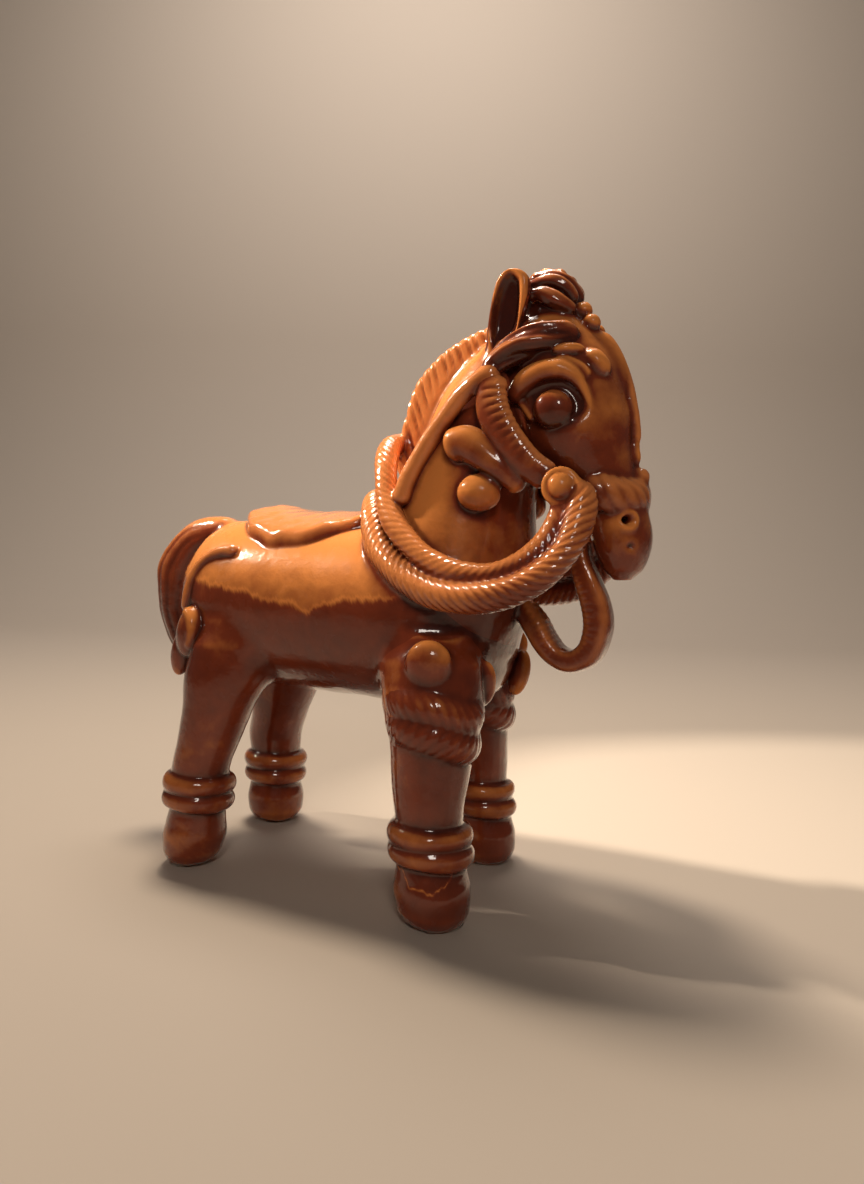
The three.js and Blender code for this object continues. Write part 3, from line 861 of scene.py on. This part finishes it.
def make_berries():
    for place, centre in BERRIES.items():
        lay(f"berry_{place}", ball_block(centre, (BERRY_RADIUS,) * 3), luting=0.9)


# -------- bridle
CHEEK = [(75, -29.5, 229), (76.5, -31.5, 217), (82.5, -32, 205), (91.5, -31, 193.5), (102, -28, 185.5)]
REIN = [
    (78, -29.5, 231), (72, -30.6, 229), (63, -31, 222), (52.5, -31, 209.5), (44, -32, 196.5),
    (38.5, -33.5, 185), (36, -34, 176),
]
THROAT = [(57, -30.5, 200), (65.5, -32, 201.5), (75, -31.5, 195), (83, -29, 188.5), (90, -26, 183)]
BIT_CENTRE = np.array([107, -28.5, 183.4])
BIT_FACING = (0.2, -1, 0)


def make_bridle():
    """Cheek straps notched along their rear edge, bit buttons, reins and throat coils."""

    def rear_edge(angle):
        return np.clip(0.55 - 1.1 * np.cos(angle), 0, 1)

    def notched(run, angle):
        notches = cuts(pitch=3.5, depth=1.8, sharp=7.0, where=rear_edge)
        return notches(run, angle) * np.clip(1.35 - run / 26, 0.15, 1)

    strap = coil(CHEEK, lambda s: 7.0 - 0.8 * s, flatten=0.6, notches=notched, around=64, blunt=0.6)
    lay_both("cheek_strap", strap, luting=1.2)
    button = join(
        ball_block(BIT_CENTRE, (7, 7, 7.2), BIT_FACING),
        ball_block(BIT_CENTRE + (0, -5.2, -0.4), (4.8, 5, 3.2), BIT_FACING),
        coil(ring_round(BIT_CENTRE + (0, -4, -0.4), BIT_FACING, 6.4), 1.6, closed=True),
        luting=0.5,
    )
    lay_both("bit_button", button, luting=1.2)
    lay_both("rein", coil(REIN, lambda s: 3.6 + 0.3 * np.cos(6 * s)), luting=1.8)
    throat = coil(THROAT, lambda s: 7.0 - 2.0 * s**1.5, flatten=0.85, blunt=0.6)
    lay_both("throat_coil", throat, luting=2.2)


# Each boss's centre, half sizes, the way it faces and its fillet.
BOSSES = {
    "neck_boss": ((71.5, -31, 181), (9.6, 8.2, 6.8), (0.35, -1, 0.1), 1.0),
    "shoulder_boss": ((59, -48, 111), (9.2, 9.4, 5.6), (0.25, -1, 0), 1.8),
    "chest_leaf": ((73, -22, 100.5), (6.2, 10.8, 4.2), (0.6, -0.8, -0.2), 1.2),
}


def make_bosses():
    for name, (*form, luting) in BOSSES.items():
        lay_both(name, ball_block(*form), luting)


# -------- garland and lead rope
INNER_STRAND = [
    (106.5, -25, 182.5), (107, -28.5, 176), (105.5, -31.5, 168.5), (101.5, -35, 160),
    (92.5, -39, 151.8), (80.5, -42, 147.5), (66, -43.5, 148.5), (52.5, -42.5, 154),
    (38.5, -39, 165), (29.5, -33, 177.5), (24, -25.5, 192.5), (19.5, -14, 204), (17, -1, 208),
]
OUTER_STRAND = [
    (112, -25.5, 184), (115, -29.5, 178), (115, -33, 170.5), (113, -38, 159.5), (105, -42, 149),
    (93, -45, 141.5), (77, -47, 138), (59, -46.5, 139), (42, -43.5, 146), (29, -37, 156),
    (20, -28, 168.5), (13.5, -16, 178), (10, -1, 181),
]
INNER_RADIUS = 5.0
OUTER_RADIUS = 6.1
INNER_CUTS = cuts(pitch=3.6, depth=0.4, turns=-8, sharp=3.5)
OUTER_CUTS = cuts(pitch=3.9, depth=0.8, turns=9, sharp=4.0)
NECK_MIDDLE = np.array([62.0, 0.0, 178.0])


def from_neck(points):
    """Away from the neck, which the strands go round."""
    return unit(points - NECK_MIDDLE)


def make_garland():
    strands = {
        "garland_inner": (INNER_STRAND, INNER_RADIUS, INNER_CUTS, 1.8),
        "garland_outer": (OUTER_STRAND, OUTER_RADIUS, OUTER_CUTS, 3.0),
    }
    for name, (line, radius, notches, luting) in strands.items():
        lay_both(name, coil(line, radius, notches=notches, around=72, outward=from_neck), luting)


LEAD_ROPE = [
    (106, 162, 4.5, 6.5),
    (107.5, 154, 5.2, 8),
    (111.5, 144.5, 5.8, 8.5),
    (115, 135, 6, 8.5),
    (116, 125, 6, 8.5),
    (113, 115.5, 5.6, 8.5),
    (106, 111, 5.2, 8.5),
    (98.5, 112.5, 5.2, 8.5),
    (93, 118, 5.4, 8.5),
    (88, 126, 5.4, 8),
    (82, 134, 4.6, 7),
]
ROPE_SQUARENESS = 3.4  # 2 would be an oval section
ROPE_SECTIONS = 220
ROPE_SCORING = 0.4  # depth of its cuts


def make_lead_rope():
    """A flat rope, nearly square in section, with faint cuts along its outer edge."""
    rows = np.array(LEAD_ROPE, float)
    line, _ = smooth_line(np.column_stack([rows[:, 0], 0 * rows[:, 0], rows[:, 1]]), ROPE_SECTIONS)
    share = np.linspace(0, 1, ROPE_SECTIONS)
    at = np.linspace(0, 1, len(rows))
    deep, wide = (np.interp(share, at, rows[:, k]) for k in (2, 3))
    centres, a, b = across_middle(np.column_stack([line[:, 0], line[:, 2], deep, wide]))
    angles = around_angles(72)
    power = ROPE_SQUARENESS
    boxy = (np.abs(np.cos(angles)) ** power + np.abs(np.sin(angles)) ** power) ** (-1 / power) - 1
    size = np.hypot(deep[:, None] * np.sin(angles), wide[:, None] * np.cos(angles))
    outer = np.clip(0.3 - np.sin(angles)[None, :], 0, 1)
    scored = -ROPE_SCORING * outer * (0.5 + 0.5 * np.cos(share[:, None] * 210)) ** 2
    lay("lead_rope", block_of(*sweep(centres, a, b, angles, size * boxy + scored)), luting=2.0)


# -------- the whole horse
VENT = [(-10, 0, 76), (-10, 0, 104)]
VENT_RADIUS = 4.0


def model_horse():
    trunk_block = make_trunk()
    make_neck_and_head()
    for name in LEGS:
        make_leg(name)
    carve(coil(VENT, VENT_RADIUS), softness=1.0)
    make_mane()
    for side, (foot, tip) in EARS.items():
        make_ear(side, foot, tip)
    make_tail()
    make_saddle_cloth(trunk_block)
    make_crupper()
    make_hip_boss()
    make_face()
    make_muzzle()
    make_noseband()
    make_face_strap()
    make_topknot()
    make_forelock()
    make_berries()
    make_bridle()
    make_bosses()
    make_garland()
    make_lead_rope()
    make_anklets()
    make_knee_bands()
    flatten_soles()


# -------- from field to meshes
def blur(values, passes=1):
    """A soft brush over the field, as glaze softens clay."""
    for _ in range(passes):
        for axis in range(3):
            view = np.moveaxis(values, axis, 0)
            view[1:-1] = view[1:-1] * 0.5 + (view[:-2] + view[2:]) * 0.25
    return values


def sample(values, points):
    """Values of a grid at points given in its own voxels."""
    top = np.array(values.shape) - 2
    base = np.clip(np.floor(points).astype(int), 0, top)
    part = np.clip(points - base, 0, 1).astype(np.float32)
    total = np.zeros(len(points), np.float32)
    for corner in range(8):
        shift = np.array([corner & 1, corner >> 1 & 1, corner >> 2 & 1])
        weight = np.prod(np.where(shift, part, 1 - part), axis=1)
        i, j, k = (base + shift).T
        total += weight * values[i, j, k]
    return total


POOL_STEP = 2  # the pooling map is kept on a grid this many times coarser
GROOVE_POOLING = 2.4  # share of the dip in fine grooves, and in broad hollows, where it also paints shade
HOLLOW_POOLING_AND_SHADE = 0.7


def pooling_map():
    """How far the clay dips below its own blurred form: positive in hollows, where glaze gathers and, in
    broad hollows, painted shade darkens it.
    """
    coarse = clay[::POOL_STEP, ::POOL_STEP, ::POOL_STEP].clip(-6, 6).copy()
    fine = blur(coarse.copy(), 3)
    broad = blur(fine.copy(), 8)
    return (coarse - fine) * GROOVE_POOLING + (fine - broad) * HOLLOW_POOLING_AND_SHADE


# The length and height of each size of unevenness.
RIPPLES = ((55, 0.35), (34, 0.25), (21, 0.16), (12, 0.07), (7.5, 0.035))


def hand_ripple(points):
    """Slow unevenness of hand-modelled clay, in millimetres."""
    random = np.random.default_rng(7)
    total = np.zeros(len(points), np.float32)
    for size, height in RIPPLES:
        for _ in range(5):
            direction = random.normal(size=3)
            direction *= 2 * math.pi / size / np.linalg.norm(direction)
            total += height * 0.5 * np.sin(points @ direction + random.uniform(0, 6.28))
    return total


def own_part(name):
    """The clay that belongs to one piece: nearer its own form than any other piece's."""
    block = pieces[name]
    others = np.full(block.values.shape, BODY_BAND, np.float32)
    for other_name, other in pieces.items():
        cut = None if other_name == name else windows(block, other)
        if cut:
            others[cut[0]] = np.minimum(others[cut[0]], other.values[cut[1]])
    seam = (block.values - others) / 2
    mine, its = windows(whole, block)
    form = clay[mine] + LAP_SINK * np.maximum(seam[its], 0)
    return Block(np.maximum(block.first, whole.first), np.maximum(form, seam[its] - LAP))


def largest_shell(points, quads):
    """Drops crumbs: keeps the shell with the most corners."""
    label = np.arange(len(points))
    while True:
        lowest = label[quads].min(axis=1)
        new = label.copy()
        for k in range(4):
            np.minimum.at(new, quads[:, k], lowest)
        new = new[new]
        if (new == label).all():
            break
        label = new
    keep = label == np.bincount(label).argmax()
    number = np.cumsum(keep) - 1
    return points[keep], number[quads[keep[quads[:, 0]]]]


# How much thicker the glaze lies on some pieces, by the start of their names; the numbers also paint light
# and shade: the mane, neck, rein, saddle cloth and garland lighter where the key light falls, the tail, eye,
# ear and head darker where they lie in shade.
GLAZE_DEPTH_AND_PAINTED_LIGHT = {
    "forelock": 1.3,
    "head": 0.1,
    "topknot": 1.1,
    "eye": 1.2,
    "ear": 0.4,
    "cheek_strap": 0.3,
    "lead_rope": 0.3,
    "tail": 0.5,
    "mane": -0.9,
    "neck": -0.1,
    "rein": -0.4,
    "garland": -0.3,
    "saddle_cloth": -0.5,
}
UPWARD_THINNING_AND_TOP_LIGHT = 1.7  # the glaze runs off what faces up, and what faces up is painted lighter, as lit from above
GATHER_AND_SHADE_BELOW = 0.8  # and gathers on what faces down, which is painted darker, as in shade
# Extra glaze depth on some areas, all painted: shade on low trims, the chest under the garland, the
# garland's front, the ears' hollows and the eye sockets; a negative depth paints light, as on the rear of
# the neck where the key light falls, and leaves the low body a little lighter.
LOW_TRIM_PAINTED_SHADE = 0.7
LOW_BODY_PAINTED_SHADE = -0.1
CHEST_PAINTED_SHADE = 0.7
REAR_NECK_PAINTED_LIGHT = -1.2
FRONT_GARLAND_PAINTED_SHADE = 0.8
EAR_HOLLOW_PAINTED_SHADE = 2.4
SOCKET_PAINTED_SHADE = 1.6
# Where the glaze changes along the flanks, which is also where the edge of the key light's shadow falls; the
# darker colour below it partly paints that shade.
TIDE_AND_SHADOW_LINE = [
    (-120, 147), (-85, 142), (-55, 136.5), (-41, 135), (-27, 131.5), (-14, 131.5), (-3, 127),
    (10, 132.5), (20, 133.5), (45, 136), (90, 138),
]
TIDE_AND_SHADE_DEPTH = 0.8  # the colour is darker below the line along the flanks: partly thicker glaze, partly painted shade
TIDE_WIDTH = 3.5
TIDE_BEAD_AND_GLINT = 0.45  # and lightest just above it, a pale bead that partly paints the glint along the shadow's edge
# How much lighter the colour is in a pale line round the near front hoof.
HOOF_LINE_LIGHTNESS = 1.5
# Height of the pale line round the near front hoof, by the angle about the leg in degrees.
HOOF_LINE_HEIGHT = [(-180, 24), (-125, 26), (-106, 20.5), (-69, 19), (-50, 21.5), (-30, 27), (20, 29), (180, 24)]
EAR_FLOOR = (19.6, 18.2)  # between which distances from the middle plane the painted shade on an ear's hollow comes in


def in_ear_hollow(points, normals):
    """1 on the floor of an ear's hollow, where painted shade goes, 0 on its rim and back."""
    side = np.sign(points[:, 1])
    return fade(np.abs(points[:, 1]), *EAR_FLOOR) * (normals[:, 1] * side > 0.1)


def tide_and_shadow_step(x, z):
    """How much lighter the colour is above the ragged line: partly thinner glaze, partly painted shade below
    the key light's shadow edge, and a pale bead along it that partly paints the glint there.
    """
    ragged = 0.5 * np.sin(x * 0.33 + 2.1 * np.sin(x * 0.11)) + 0.45 * np.sin(x * 0.93 + 2 * np.sin(x * 0.23))
    ragged = ragged + 0.35 * np.sin(x * 2.3 + 1.9 * np.sin(x * 0.61) + z) + 0.25 * np.sin(x * 4.3 + z * 3)
    above = z - np.interp(x, *zip(*TIDE_AND_SHADOW_LINE)) - ragged
    return TIDE_AND_SHADE_DEPTH * np.clip(above / TIDE_WIDTH, -0.5, 0.5) + TIDE_BEAD_AND_GLINT * np.exp(-((above - 1.2) ** 2))


def hoof_pale_line(x, y, z):
    """How much lighter the colour is in the pale line round the front right hoof."""
    foot = LEGS["front_right"][0]
    turn = np.degrees(np.arctan2(y - foot[1], x - foot[0]))
    wobble = 0.4 * np.sin(turn * 0.21 + 1) + 0.25 * np.sin(turn * 0.57 + 2 * np.sin(turn * 0.1))
    line = np.interp(turn, *zip(*HOOF_LINE_HEIGHT)) + wobble
    return HOOF_LINE_LIGHTNESS * np.exp(-(((z - line) / 0.5) ** 2)) * (0.8 + 0.2 * np.sin(turn * 0.5))


def socket_shade_mask(x, y, z):
    """Where painted shade darkens the eye socket: 1 on the socket's edge, less behind and below the eye, 0
    away from it.
    """
    ahead, above = x - EYE_CENTRE[0], z - EYE_CENTRE[2]
    from_eye = np.sqrt(ahead**2 + (np.abs(y) + EYE_CENTRE[1]) ** 2 + above**2)
    front = np.clip(0.55 + (0.5 * ahead + 0.3 * above) / from_eye, 0.1, 1)
    return front * np.exp(-(((from_eye - 9.5) / 2.4) ** 2))


def glaze_depth_and_painted_light(name, points, normals):
    """Thickness of glaze on a piece, over and above what gathers in hollows, together with painted light and
    shade: lighter where the key light falls and on what faces up, darker in shade.
    """
    x, y, z = points.T
    depth = sum(extra for start, extra in GLAZE_DEPTH_AND_PAINTED_LIGHT.items() if name.startswith(start))
    high = np.clip((z - 100) / 40, 0.2, 1)
    body = name in ("trunk", "neck") or name.endswith("_leg")
    # Painted shade by height: low trims darker, the low body a little lighter.
    depth = depth + (LOW_BODY_PAINTED_SHADE if body else LOW_TRIM_PAINTED_SHADE) * (1 - high)
    # Painted light on what faces up and painted shade on what faces down, partly glaze running off and
    # gathering.
    depth = depth - UPWARD_THINNING_AND_TOP_LIGHT * high * np.maximum(normals[:, 2], 0)
    depth = depth + GATHER_AND_SHADE_BELOW * high * np.maximum(-normals[:, 2], 0)
    # Darker below the ragged line: partly glaze, partly painted shade below the key light's shadow edge.
    if name in ("trunk", "rear_right_leg", "rear_left_leg"):
        depth = depth - tide_and_shadow_step(x, z)
    if name == "front_right_leg":
        depth = depth - hoof_pale_line(x, y, z)
    # Painted shade on the front of the garland.
    if name.startswith("garland"):
        depth = depth + FRONT_GARLAND_PAINTED_SHADE * fade(x, 62, 92)
    # Painted light on the rear of the neck, where the key light falls.
    if name == "neck":
        depth = depth + REAR_NECK_PAINTED_LIGHT * fade(x, 72, 48) * fade(z, 212, 200)
    # Painted shade on the chest and legs under the garland.
    if body:
        depth = depth + CHEST_PAINTED_SHADE * fade(x, 45, 60) * fade(z, 152, 140)
    # Painted shade in the ears' hollows.
    if name.startswith("ear"):
        depth = depth + EAR_HOLLOW_PAINTED_SHADE * in_ear_hollow(points, normals)
    # Painted shade round the eye sockets.
    if name == "head":
        depth = depth + SOCKET_PAINTED_SHADE * socket_shade_mask(x, y, z)
    return depth


def skin_of(part):
    """A block's surface, as points in millimetres and quads."""
    band = 3 * VOXEL
    grid = vdb.FloatGrid(band)
    grid.transform = vdb.createLinearTransform(VOXEL)
    values = np.pad(np.clip(part.values, -band, band), 1, constant_values=band)
    grid.copyFromArray(values, ijk=tuple(int(v) - 1 for v in part.first))
    points, quads = grid.convertToQuads()
    return largest_shell(points, quads.astype(np.int64))


def quad_mesh(name, points, quads):
    """A smooth-shaded mesh in metres."""
    mesh = bpy.data.meshes.new(name)
    mesh.vertices.add(len(points))
    mesh.vertices.foreach_set("co", (points * MM).astype(np.float32).ravel())
    mesh.loops.add(quads.size)
    mesh.loops.foreach_set("vertex_index", quads.astype(np.int32).ravel())
    mesh.polygons.add(len(quads))
    mesh.polygons.foreach_set("loop_start", np.arange(0, quads.size, 4, dtype=np.int32))
    mesh.update(calc_edges=True)
    mesh.shade_smooth()
    return mesh


def mesh_piece(name, pool_light_and_shade, slopes):
    """A piece's mesh, shaded by the slope of the clay and with its glaze's thickness at each point, which
    also carries painted light and shade.
    """
    points, quads = skin_of(own_part(name))
    at = points / VOXEL - GRID_FIRST
    normals = unit(np.stack([sample(slope, at) for slope in slopes], axis=1) + 1e-6)
    exposed = np.clip(1 - np.abs(sample(clay, at)) / (1.5 * VOXEL), 0, 1)
    points = points + normals * (hand_ripple(points) * exposed)[:, None]
    points[:, 2] = np.maximum(points[:, 2], 0)
    pooled = sample(pool_light_and_shade, at / POOL_STEP) + glaze_depth_and_painted_light(name, points, normals)
    mesh = quad_mesh(name, points, quads)
    thickness = mesh.attributes.new("pool_light_and_shade", "FLOAT", "POINT")
    thickness.data.foreach_set("value", pooled.astype(np.float32))
    mesh.normals_split_custom_set_from_vertices(normals.tolist())
    return mesh


def field_slopes():
    """The field's slope along X, Y and Z, for smooth shading."""
    return [np.gradient(clay, axis=axis).astype(np.float32) for axis in range(3)]


# -------- materials
def srgb(red, green, blue):
    def linear(c):
        c /= 255
        return c / 12.92 if c <= 0.04045 else ((c + 0.055) / 1.055) ** 2.4

    return (linear(red), linear(green), linear(blue), 1)


class Nodes:
    """Short calls for a material's node tree."""

    def __init__(self, name):
        self.material = bpy.data.materials.new(name)
        self.material.use_nodes = True
        self.tree = self.material.node_tree

    def new(self, kind, **values):
        node = self.tree.nodes.new(kind)
        for key, value in values.items():
            setattr(node, key, value)
        return node

    def feed(self, node, inputs):
        """Links outputs to a node's inputs, or sets them to plain values."""
        for key, value in inputs.items():
            if isinstance(value, bpy.types.NodeSocket):
                self.tree.links.new(value, node.inputs[key])
            else:
                node.inputs[key].default_value = value

    def shade(self, inputs):
        self.feed(self.tree.nodes["Principled BSDF"], inputs)

    def math(self, operation, *values, clamp=False):
        node = self.new("ShaderNodeMath", operation=operation, use_clamp=clamp)
        self.feed(node, dict(enumerate(values)))
        return node.outputs[0]

    def noise(self, coordinates, scale, detail, distortion=0.0):
        node = self.new("ShaderNodeTexNoise")
        self.feed(node, {"Vector": coordinates, "Scale": scale, "Detail": detail, "Distortion": distortion})
        return node.outputs["Fac"]

    def ramp(self, factor, stops):
        node = self.new("ShaderNodeValToRGB")
        elements = node.color_ramp.elements
        while len(elements) < len(stops):
            elements.new(0.5)
        for element, (position, colour) in zip(elements, stops):
            element.position = position
            element.color = colour
        self.feed(node, {"Fac": factor})
        return node.outputs["Color"]

    def mix(self, factor, one, two):
        """Colour one, then two as the factor grows."""
        node = self.new("ShaderNodeMix", data_type="RGBA")
        first, second = (k for k, socket in enumerate(node.inputs) if socket.type == "RGBA")
        self.feed(node, {0: factor, first: one, second: two})
        return next(socket for socket in node.outputs if socket.type == "RGBA")


PATCH_SCALE = 38  # of the noise that shades the glaze in patches, and of the finer mottle
MOTTLE_SCALE = 160
ROUGHNESS_SCALE = 90
WAVE_SCALE = 230  # of the glaze's slow waves, and of its fine dimples
DIMPLE_SCALE = 900
# How deep the glaze is where its thin, body and pooled colours show.
THIN_AT, BODY_AT, POOLED_AT = 0.12, 0.48, 0.86
# How much of that depth comes from pooling, with the painted light and shade that ride on it, and from
# patches and mottle.
POOL_SHARE, PATCH_SHARE, MOTTLE_SHARE = 0.3, 0.5, 0.22
SATIN_BELOW = 0.45  # glaze thinner than this starts to lose its gloss
COAT_ROUGHNESS = 0.035
SOLE_LINE = 0.0002  # the glaze starts this far above the bare soles, in metres
SOLE_RAGGEDNESS = 0.0016
SOLE_SHARPNESS = 1800


def glaze(name, thin, body, pooled, satin, dimple):
    """Honey glaze over red clay: thin and light on ridges, dark where it pools, worn off the soles. Its
    depth also carries painted light and shade, so the same colours paint lit and shaded parts.
    satin is how fast thin glaze turns matt; dimple is the height of its unevenness, in metres."""
    nodes = Nodes(name)
    add, times, less = (partial(nodes.math, kind) for kind in ("ADD", "MULTIPLY", "SUBTRACT"))
    times_plus = partial(nodes.math, "MULTIPLY_ADD")
    place = nodes.new("ShaderNodeTexCoord").outputs["Object"]
    pool_light_and_shade = nodes.new("ShaderNodeAttribute", attribute_name="pool_light_and_shade").outputs["Fac"]
    patches = nodes.noise(place, PATCH_SCALE, 4, 0.6)
    mottle = nodes.noise(place, MOTTLE_SCALE, 5, 0.3)
    depth = times_plus(pool_light_and_shade, POOL_SHARE, 0.5)
    depth = add(depth, times(less(patches, 0.5), PATCH_SHARE))
    depth = add(depth, times(less(mottle, 0.5), MOTTLE_SHARE))
    # The ramp paints light and shade as well as glaze: its thin colour stands for lit glaze, its pooled
    # colour for glaze in shade.
    colour = nodes.ramp(depth, [(THIN_AT, thin), (BODY_AT, body), (POOLED_AT, pooled)])

    height = nodes.new("ShaderNodeSeparateXYZ")
    nodes.feed(height, {0: place})
    above_sole = add(height.outputs["Z"], times(mottle, -SOLE_RAGGEDNESS))
    glazed = times(add(above_sole, -SOLE_LINE), SOLE_SHARPNESS, clamp=True)

    rough = times_plus(nodes.noise(place, ROUGHNESS_SCALE, 3), 0.16, 0.16)
    smoothed = times(glazed, less(1.0, rough))
    matt = times(less(SATIN_BELOW, depth), satin, clamp=True)
    gloss = less(1.0, times(matt, 0.8))

    fine = times(nodes.noise(place, DIMPLE_SCALE, 2), 0.12)
    wavy = add(nodes.noise(place, WAVE_SCALE, 2), fine)
    ripple = nodes.new("ShaderNodeBump")
    nodes.feed(ripple, {"Strength": 0.55, "Distance": dimple, "Height": wavy})

    nodes.shade({
        "Base Color": nodes.mix(glazed, BARE_CLAY, colour),
        "Roughness": less(1.02, smoothed),
        "Specular IOR Level": 0.1,
        "Coat Weight": times(glazed, gloss),
        "Coat Roughness": times_plus(matt, 0.12, COAT_ROUGHNESS),
        "Coat IOR": 1.46,
        "Normal": ripple.outputs["Normal"],
        "Coat Normal": ripple.outputs["Normal"],
    })
    return nodes.material


def plain(name, colour, roughness):
    nodes = Nodes(name)
    nodes.shade({"Base Color": colour, "Roughness": roughness})
    return nodes.material


# The thin colours are the glaze where the key light falls on it and the pooled colour is the glaze in shade,
# so they paint light and shade as well as thin and thick glaze.
THIN_GLAZE_AND_LIT = srgb(222, 137, 70)
BODY_GLAZE = srgb(128, 55, 30)
POOLED_GLAZE_AND_SHADED = srgb(70, 29, 20)
TRIM_THIN_AND_LIT = srgb(218, 132, 72)
TRIM_BODY = srgb(130, 58, 32)
BARE_CLAY = srgb(170, 104, 72)


def show_horse():
    """Makes each piece's mesh and gives it its CAD node's place."""
    blur(clay)
    pool_light_and_shade = pooling_map()
    slopes = field_slopes()
    materials = {
        "honey_glaze": glaze("honey_glaze", THIN_GLAZE_AND_LIT, BODY_GLAZE, POOLED_GLAZE_AND_SHADED, satin=4.0, dimple=0.0004),
        "trim_glaze": glaze("trim_glaze", TRIM_THIN_AND_LIT, TRIM_BODY, POOLED_GLAZE_AND_SHADED, satin=0.0, dimple=0.0006),
    }
    slots = {row["node"]: row["material_slot"] for row in frame["record"]["subparts"]}
    for name in pieces:
        mesh = mesh_piece(name, pool_light_and_shade, slopes)
        mesh.materials.append(materials[slots[name]])
        piece = bpy.data.objects.new(f"glazed_{name}", mesh)
        bpy.context.scene.collection.objects.link(piece)
        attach(piece, "root")
        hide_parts(name)


# -------- stage, light and camera
CAMERA_PLACE = (0.2013, -0.3384, 0.1505)  # in metres, as are the lamps' places
CAMERA_TURN = 26.0  # to the left of +Y, in degrees
CAMERA_DIP = 1.93
CAMERA_ROLL = 1.8
CAMERA_LENS = 24.3  # in millimetres


def make_camera():
    camera = bpy.data.objects.new("camera", bpy.data.cameras.new("camera"))
    camera.data.lens = CAMERA_LENS
    camera.data.clip_start = 0.01
    turn = Matrix.Rotation(math.radians(CAMERA_TURN), 4, "Z")
    tip = Matrix.Rotation(math.radians(90 - CAMERA_DIP), 4, "X")
    roll = Matrix.Rotation(math.radians(CAMERA_ROLL), 4, "Z")
    camera.matrix_world = Matrix.Translation(CAMERA_PLACE) @ turn @ tip @ roll
    bpy.context.scene.collection.objects.link(camera)
    bpy.context.scene.camera = camera


# The key light comes from the upper left, and its lower edge grazes the flank along the tide line.
KEY_FROM = unit(np.array([-0.745, -0.298, 0.596]))
KEY_UP = unit(np.array([0, 0, 1]) - KEY_FROM[2] * KEY_FROM)
KEY_ACROSS = np.cross(KEY_FROM, KEY_UP)
KEY_REACH = 0.2  # radius of its cone at the target
KEY_DISTANCE = 1.2
KEY_POWER = 108
KEY_COLOUR = (1.0, 0.88, 0.72)
KEY_TARGET = np.array([0, -0.045, 0.13]) + KEY_REACH * (0.8 * KEY_ACROSS + 0.6 * KEY_UP)
KEY_PLACE = KEY_TARGET + KEY_DISTANCE * KEY_FROM
# Each soft lamp's place, diameter, power, colour and target.
HORSE_MIDDLE = (0, 0, 0.15)
TOP_LAMP = ((-0.15, 0.1, 0.95), 0.16, 6, (1.0, 0.86, 0.68), HORSE_MIDDLE)
FILL_LAMP = ((0.9, -1.5, 1.1), 0.45, 9, (1.0, 0.9, 0.8), HORSE_MIDDLE)
WALL_LAMP = ((-0.4, 0.7, 2.1), 1.4, 30, (1.0, 0.93, 0.86), (-0.7, 1.7, 0.5))
WORLD_STRENGTH = 0.06
BACKDROP_BEND = 0.8  # radius of the sweep between floor and backdrop
BACKDROP_AWAY = 1.2  # where the sweep starts, behind the horse
BACKDROP_HALF_WIDTH = 4.0


def place_light(light, name, place, power, colour, target):
    light.energy = power
    light.color = colour
    lamp = bpy.data.objects.new(name, light)
    lamp.location = place
    lamp.rotation_euler = (Vector(target) - Vector(place)).to_track_quat("-Z", "Y").to_euler()
    bpy.context.scene.collection.objects.link(lamp)


def area_light(name, place, size, power, colour, target):
    light = bpy.data.lights.new(name, "AREA")
    light.shape = "DISK"
    light.size = size
    place_light(light, name, place, power, colour, target)


def spot_light(name, place, reach, power, colour, target):
    """A soft-edged cone of light that spreads to the given radius at its target."""
    light = bpy.data.lights.new(name, "SPOT")
    light.spot_size = 2 * math.atan(reach / (Vector(target) - Vector(place)).length)
    light.spot_blend = 0.12
    light.shadow_soft_size = 0.05
    place_light(light, name, place, power, colour, target)


def make_backdrop():
    """A pale floor that sweeps up into a backdrop."""
    bend, away = BACKDROP_BEND, BACKDROP_AWAY
    sweep_up = np.linspace(0.1, math.pi / 2, 12)
    profile = [(-3.0, 0.0), (away, 0.0)]
    profile += [(away + bend * math.sin(t), bend - bend * math.cos(t)) for t in sweep_up]
    profile += [(away + bend, 3.5)]
    verts = [(side * BACKDROP_HALF_WIDTH, y, z) for y, z in profile for side in (-1, 1)]
    faces = [(2 * i, 2 * i + 1, 2 * i + 3, 2 * i + 2) for i in range(len(profile) - 1)]
    mesh = bpy.data.meshes.new("backdrop")
    mesh.from_pydata(verts, [], faces)
    mesh.shade_smooth()
    mesh.materials.append(plain("pale_backdrop", srgb(188, 174, 160), 0.85))
    backdrop = bpy.data.objects.new("backdrop", mesh)
    backdrop.rotation_euler[2] = math.radians(CAMERA_TURN)
    bpy.context.scene.collection.objects.link(backdrop)


def make_light():
    """Faint light from all round, a key lamp from the upper left and soft lamps."""
    world = bpy.data.worlds.new("studio")
    world.use_nodes = True
    background = world.node_tree.nodes["Background"].inputs
    background["Color"].default_value = srgb(226, 222, 216)
    background["Strength"].default_value = WORLD_STRENGTH
    bpy.context.scene.world = world
    area_light("top", *TOP_LAMP)
    spot_light("key", KEY_PLACE, KEY_REACH, KEY_POWER, KEY_COLOUR, KEY_TARGET)
    area_light("fill", *FILL_LAMP)
    area_light("wall_wash", *WALL_LAMP)
    bpy.context.scene.view_settings.view_transform = "Standard"


model_horse()
show_horse()
make_camera()
make_backdrop()
make_light()
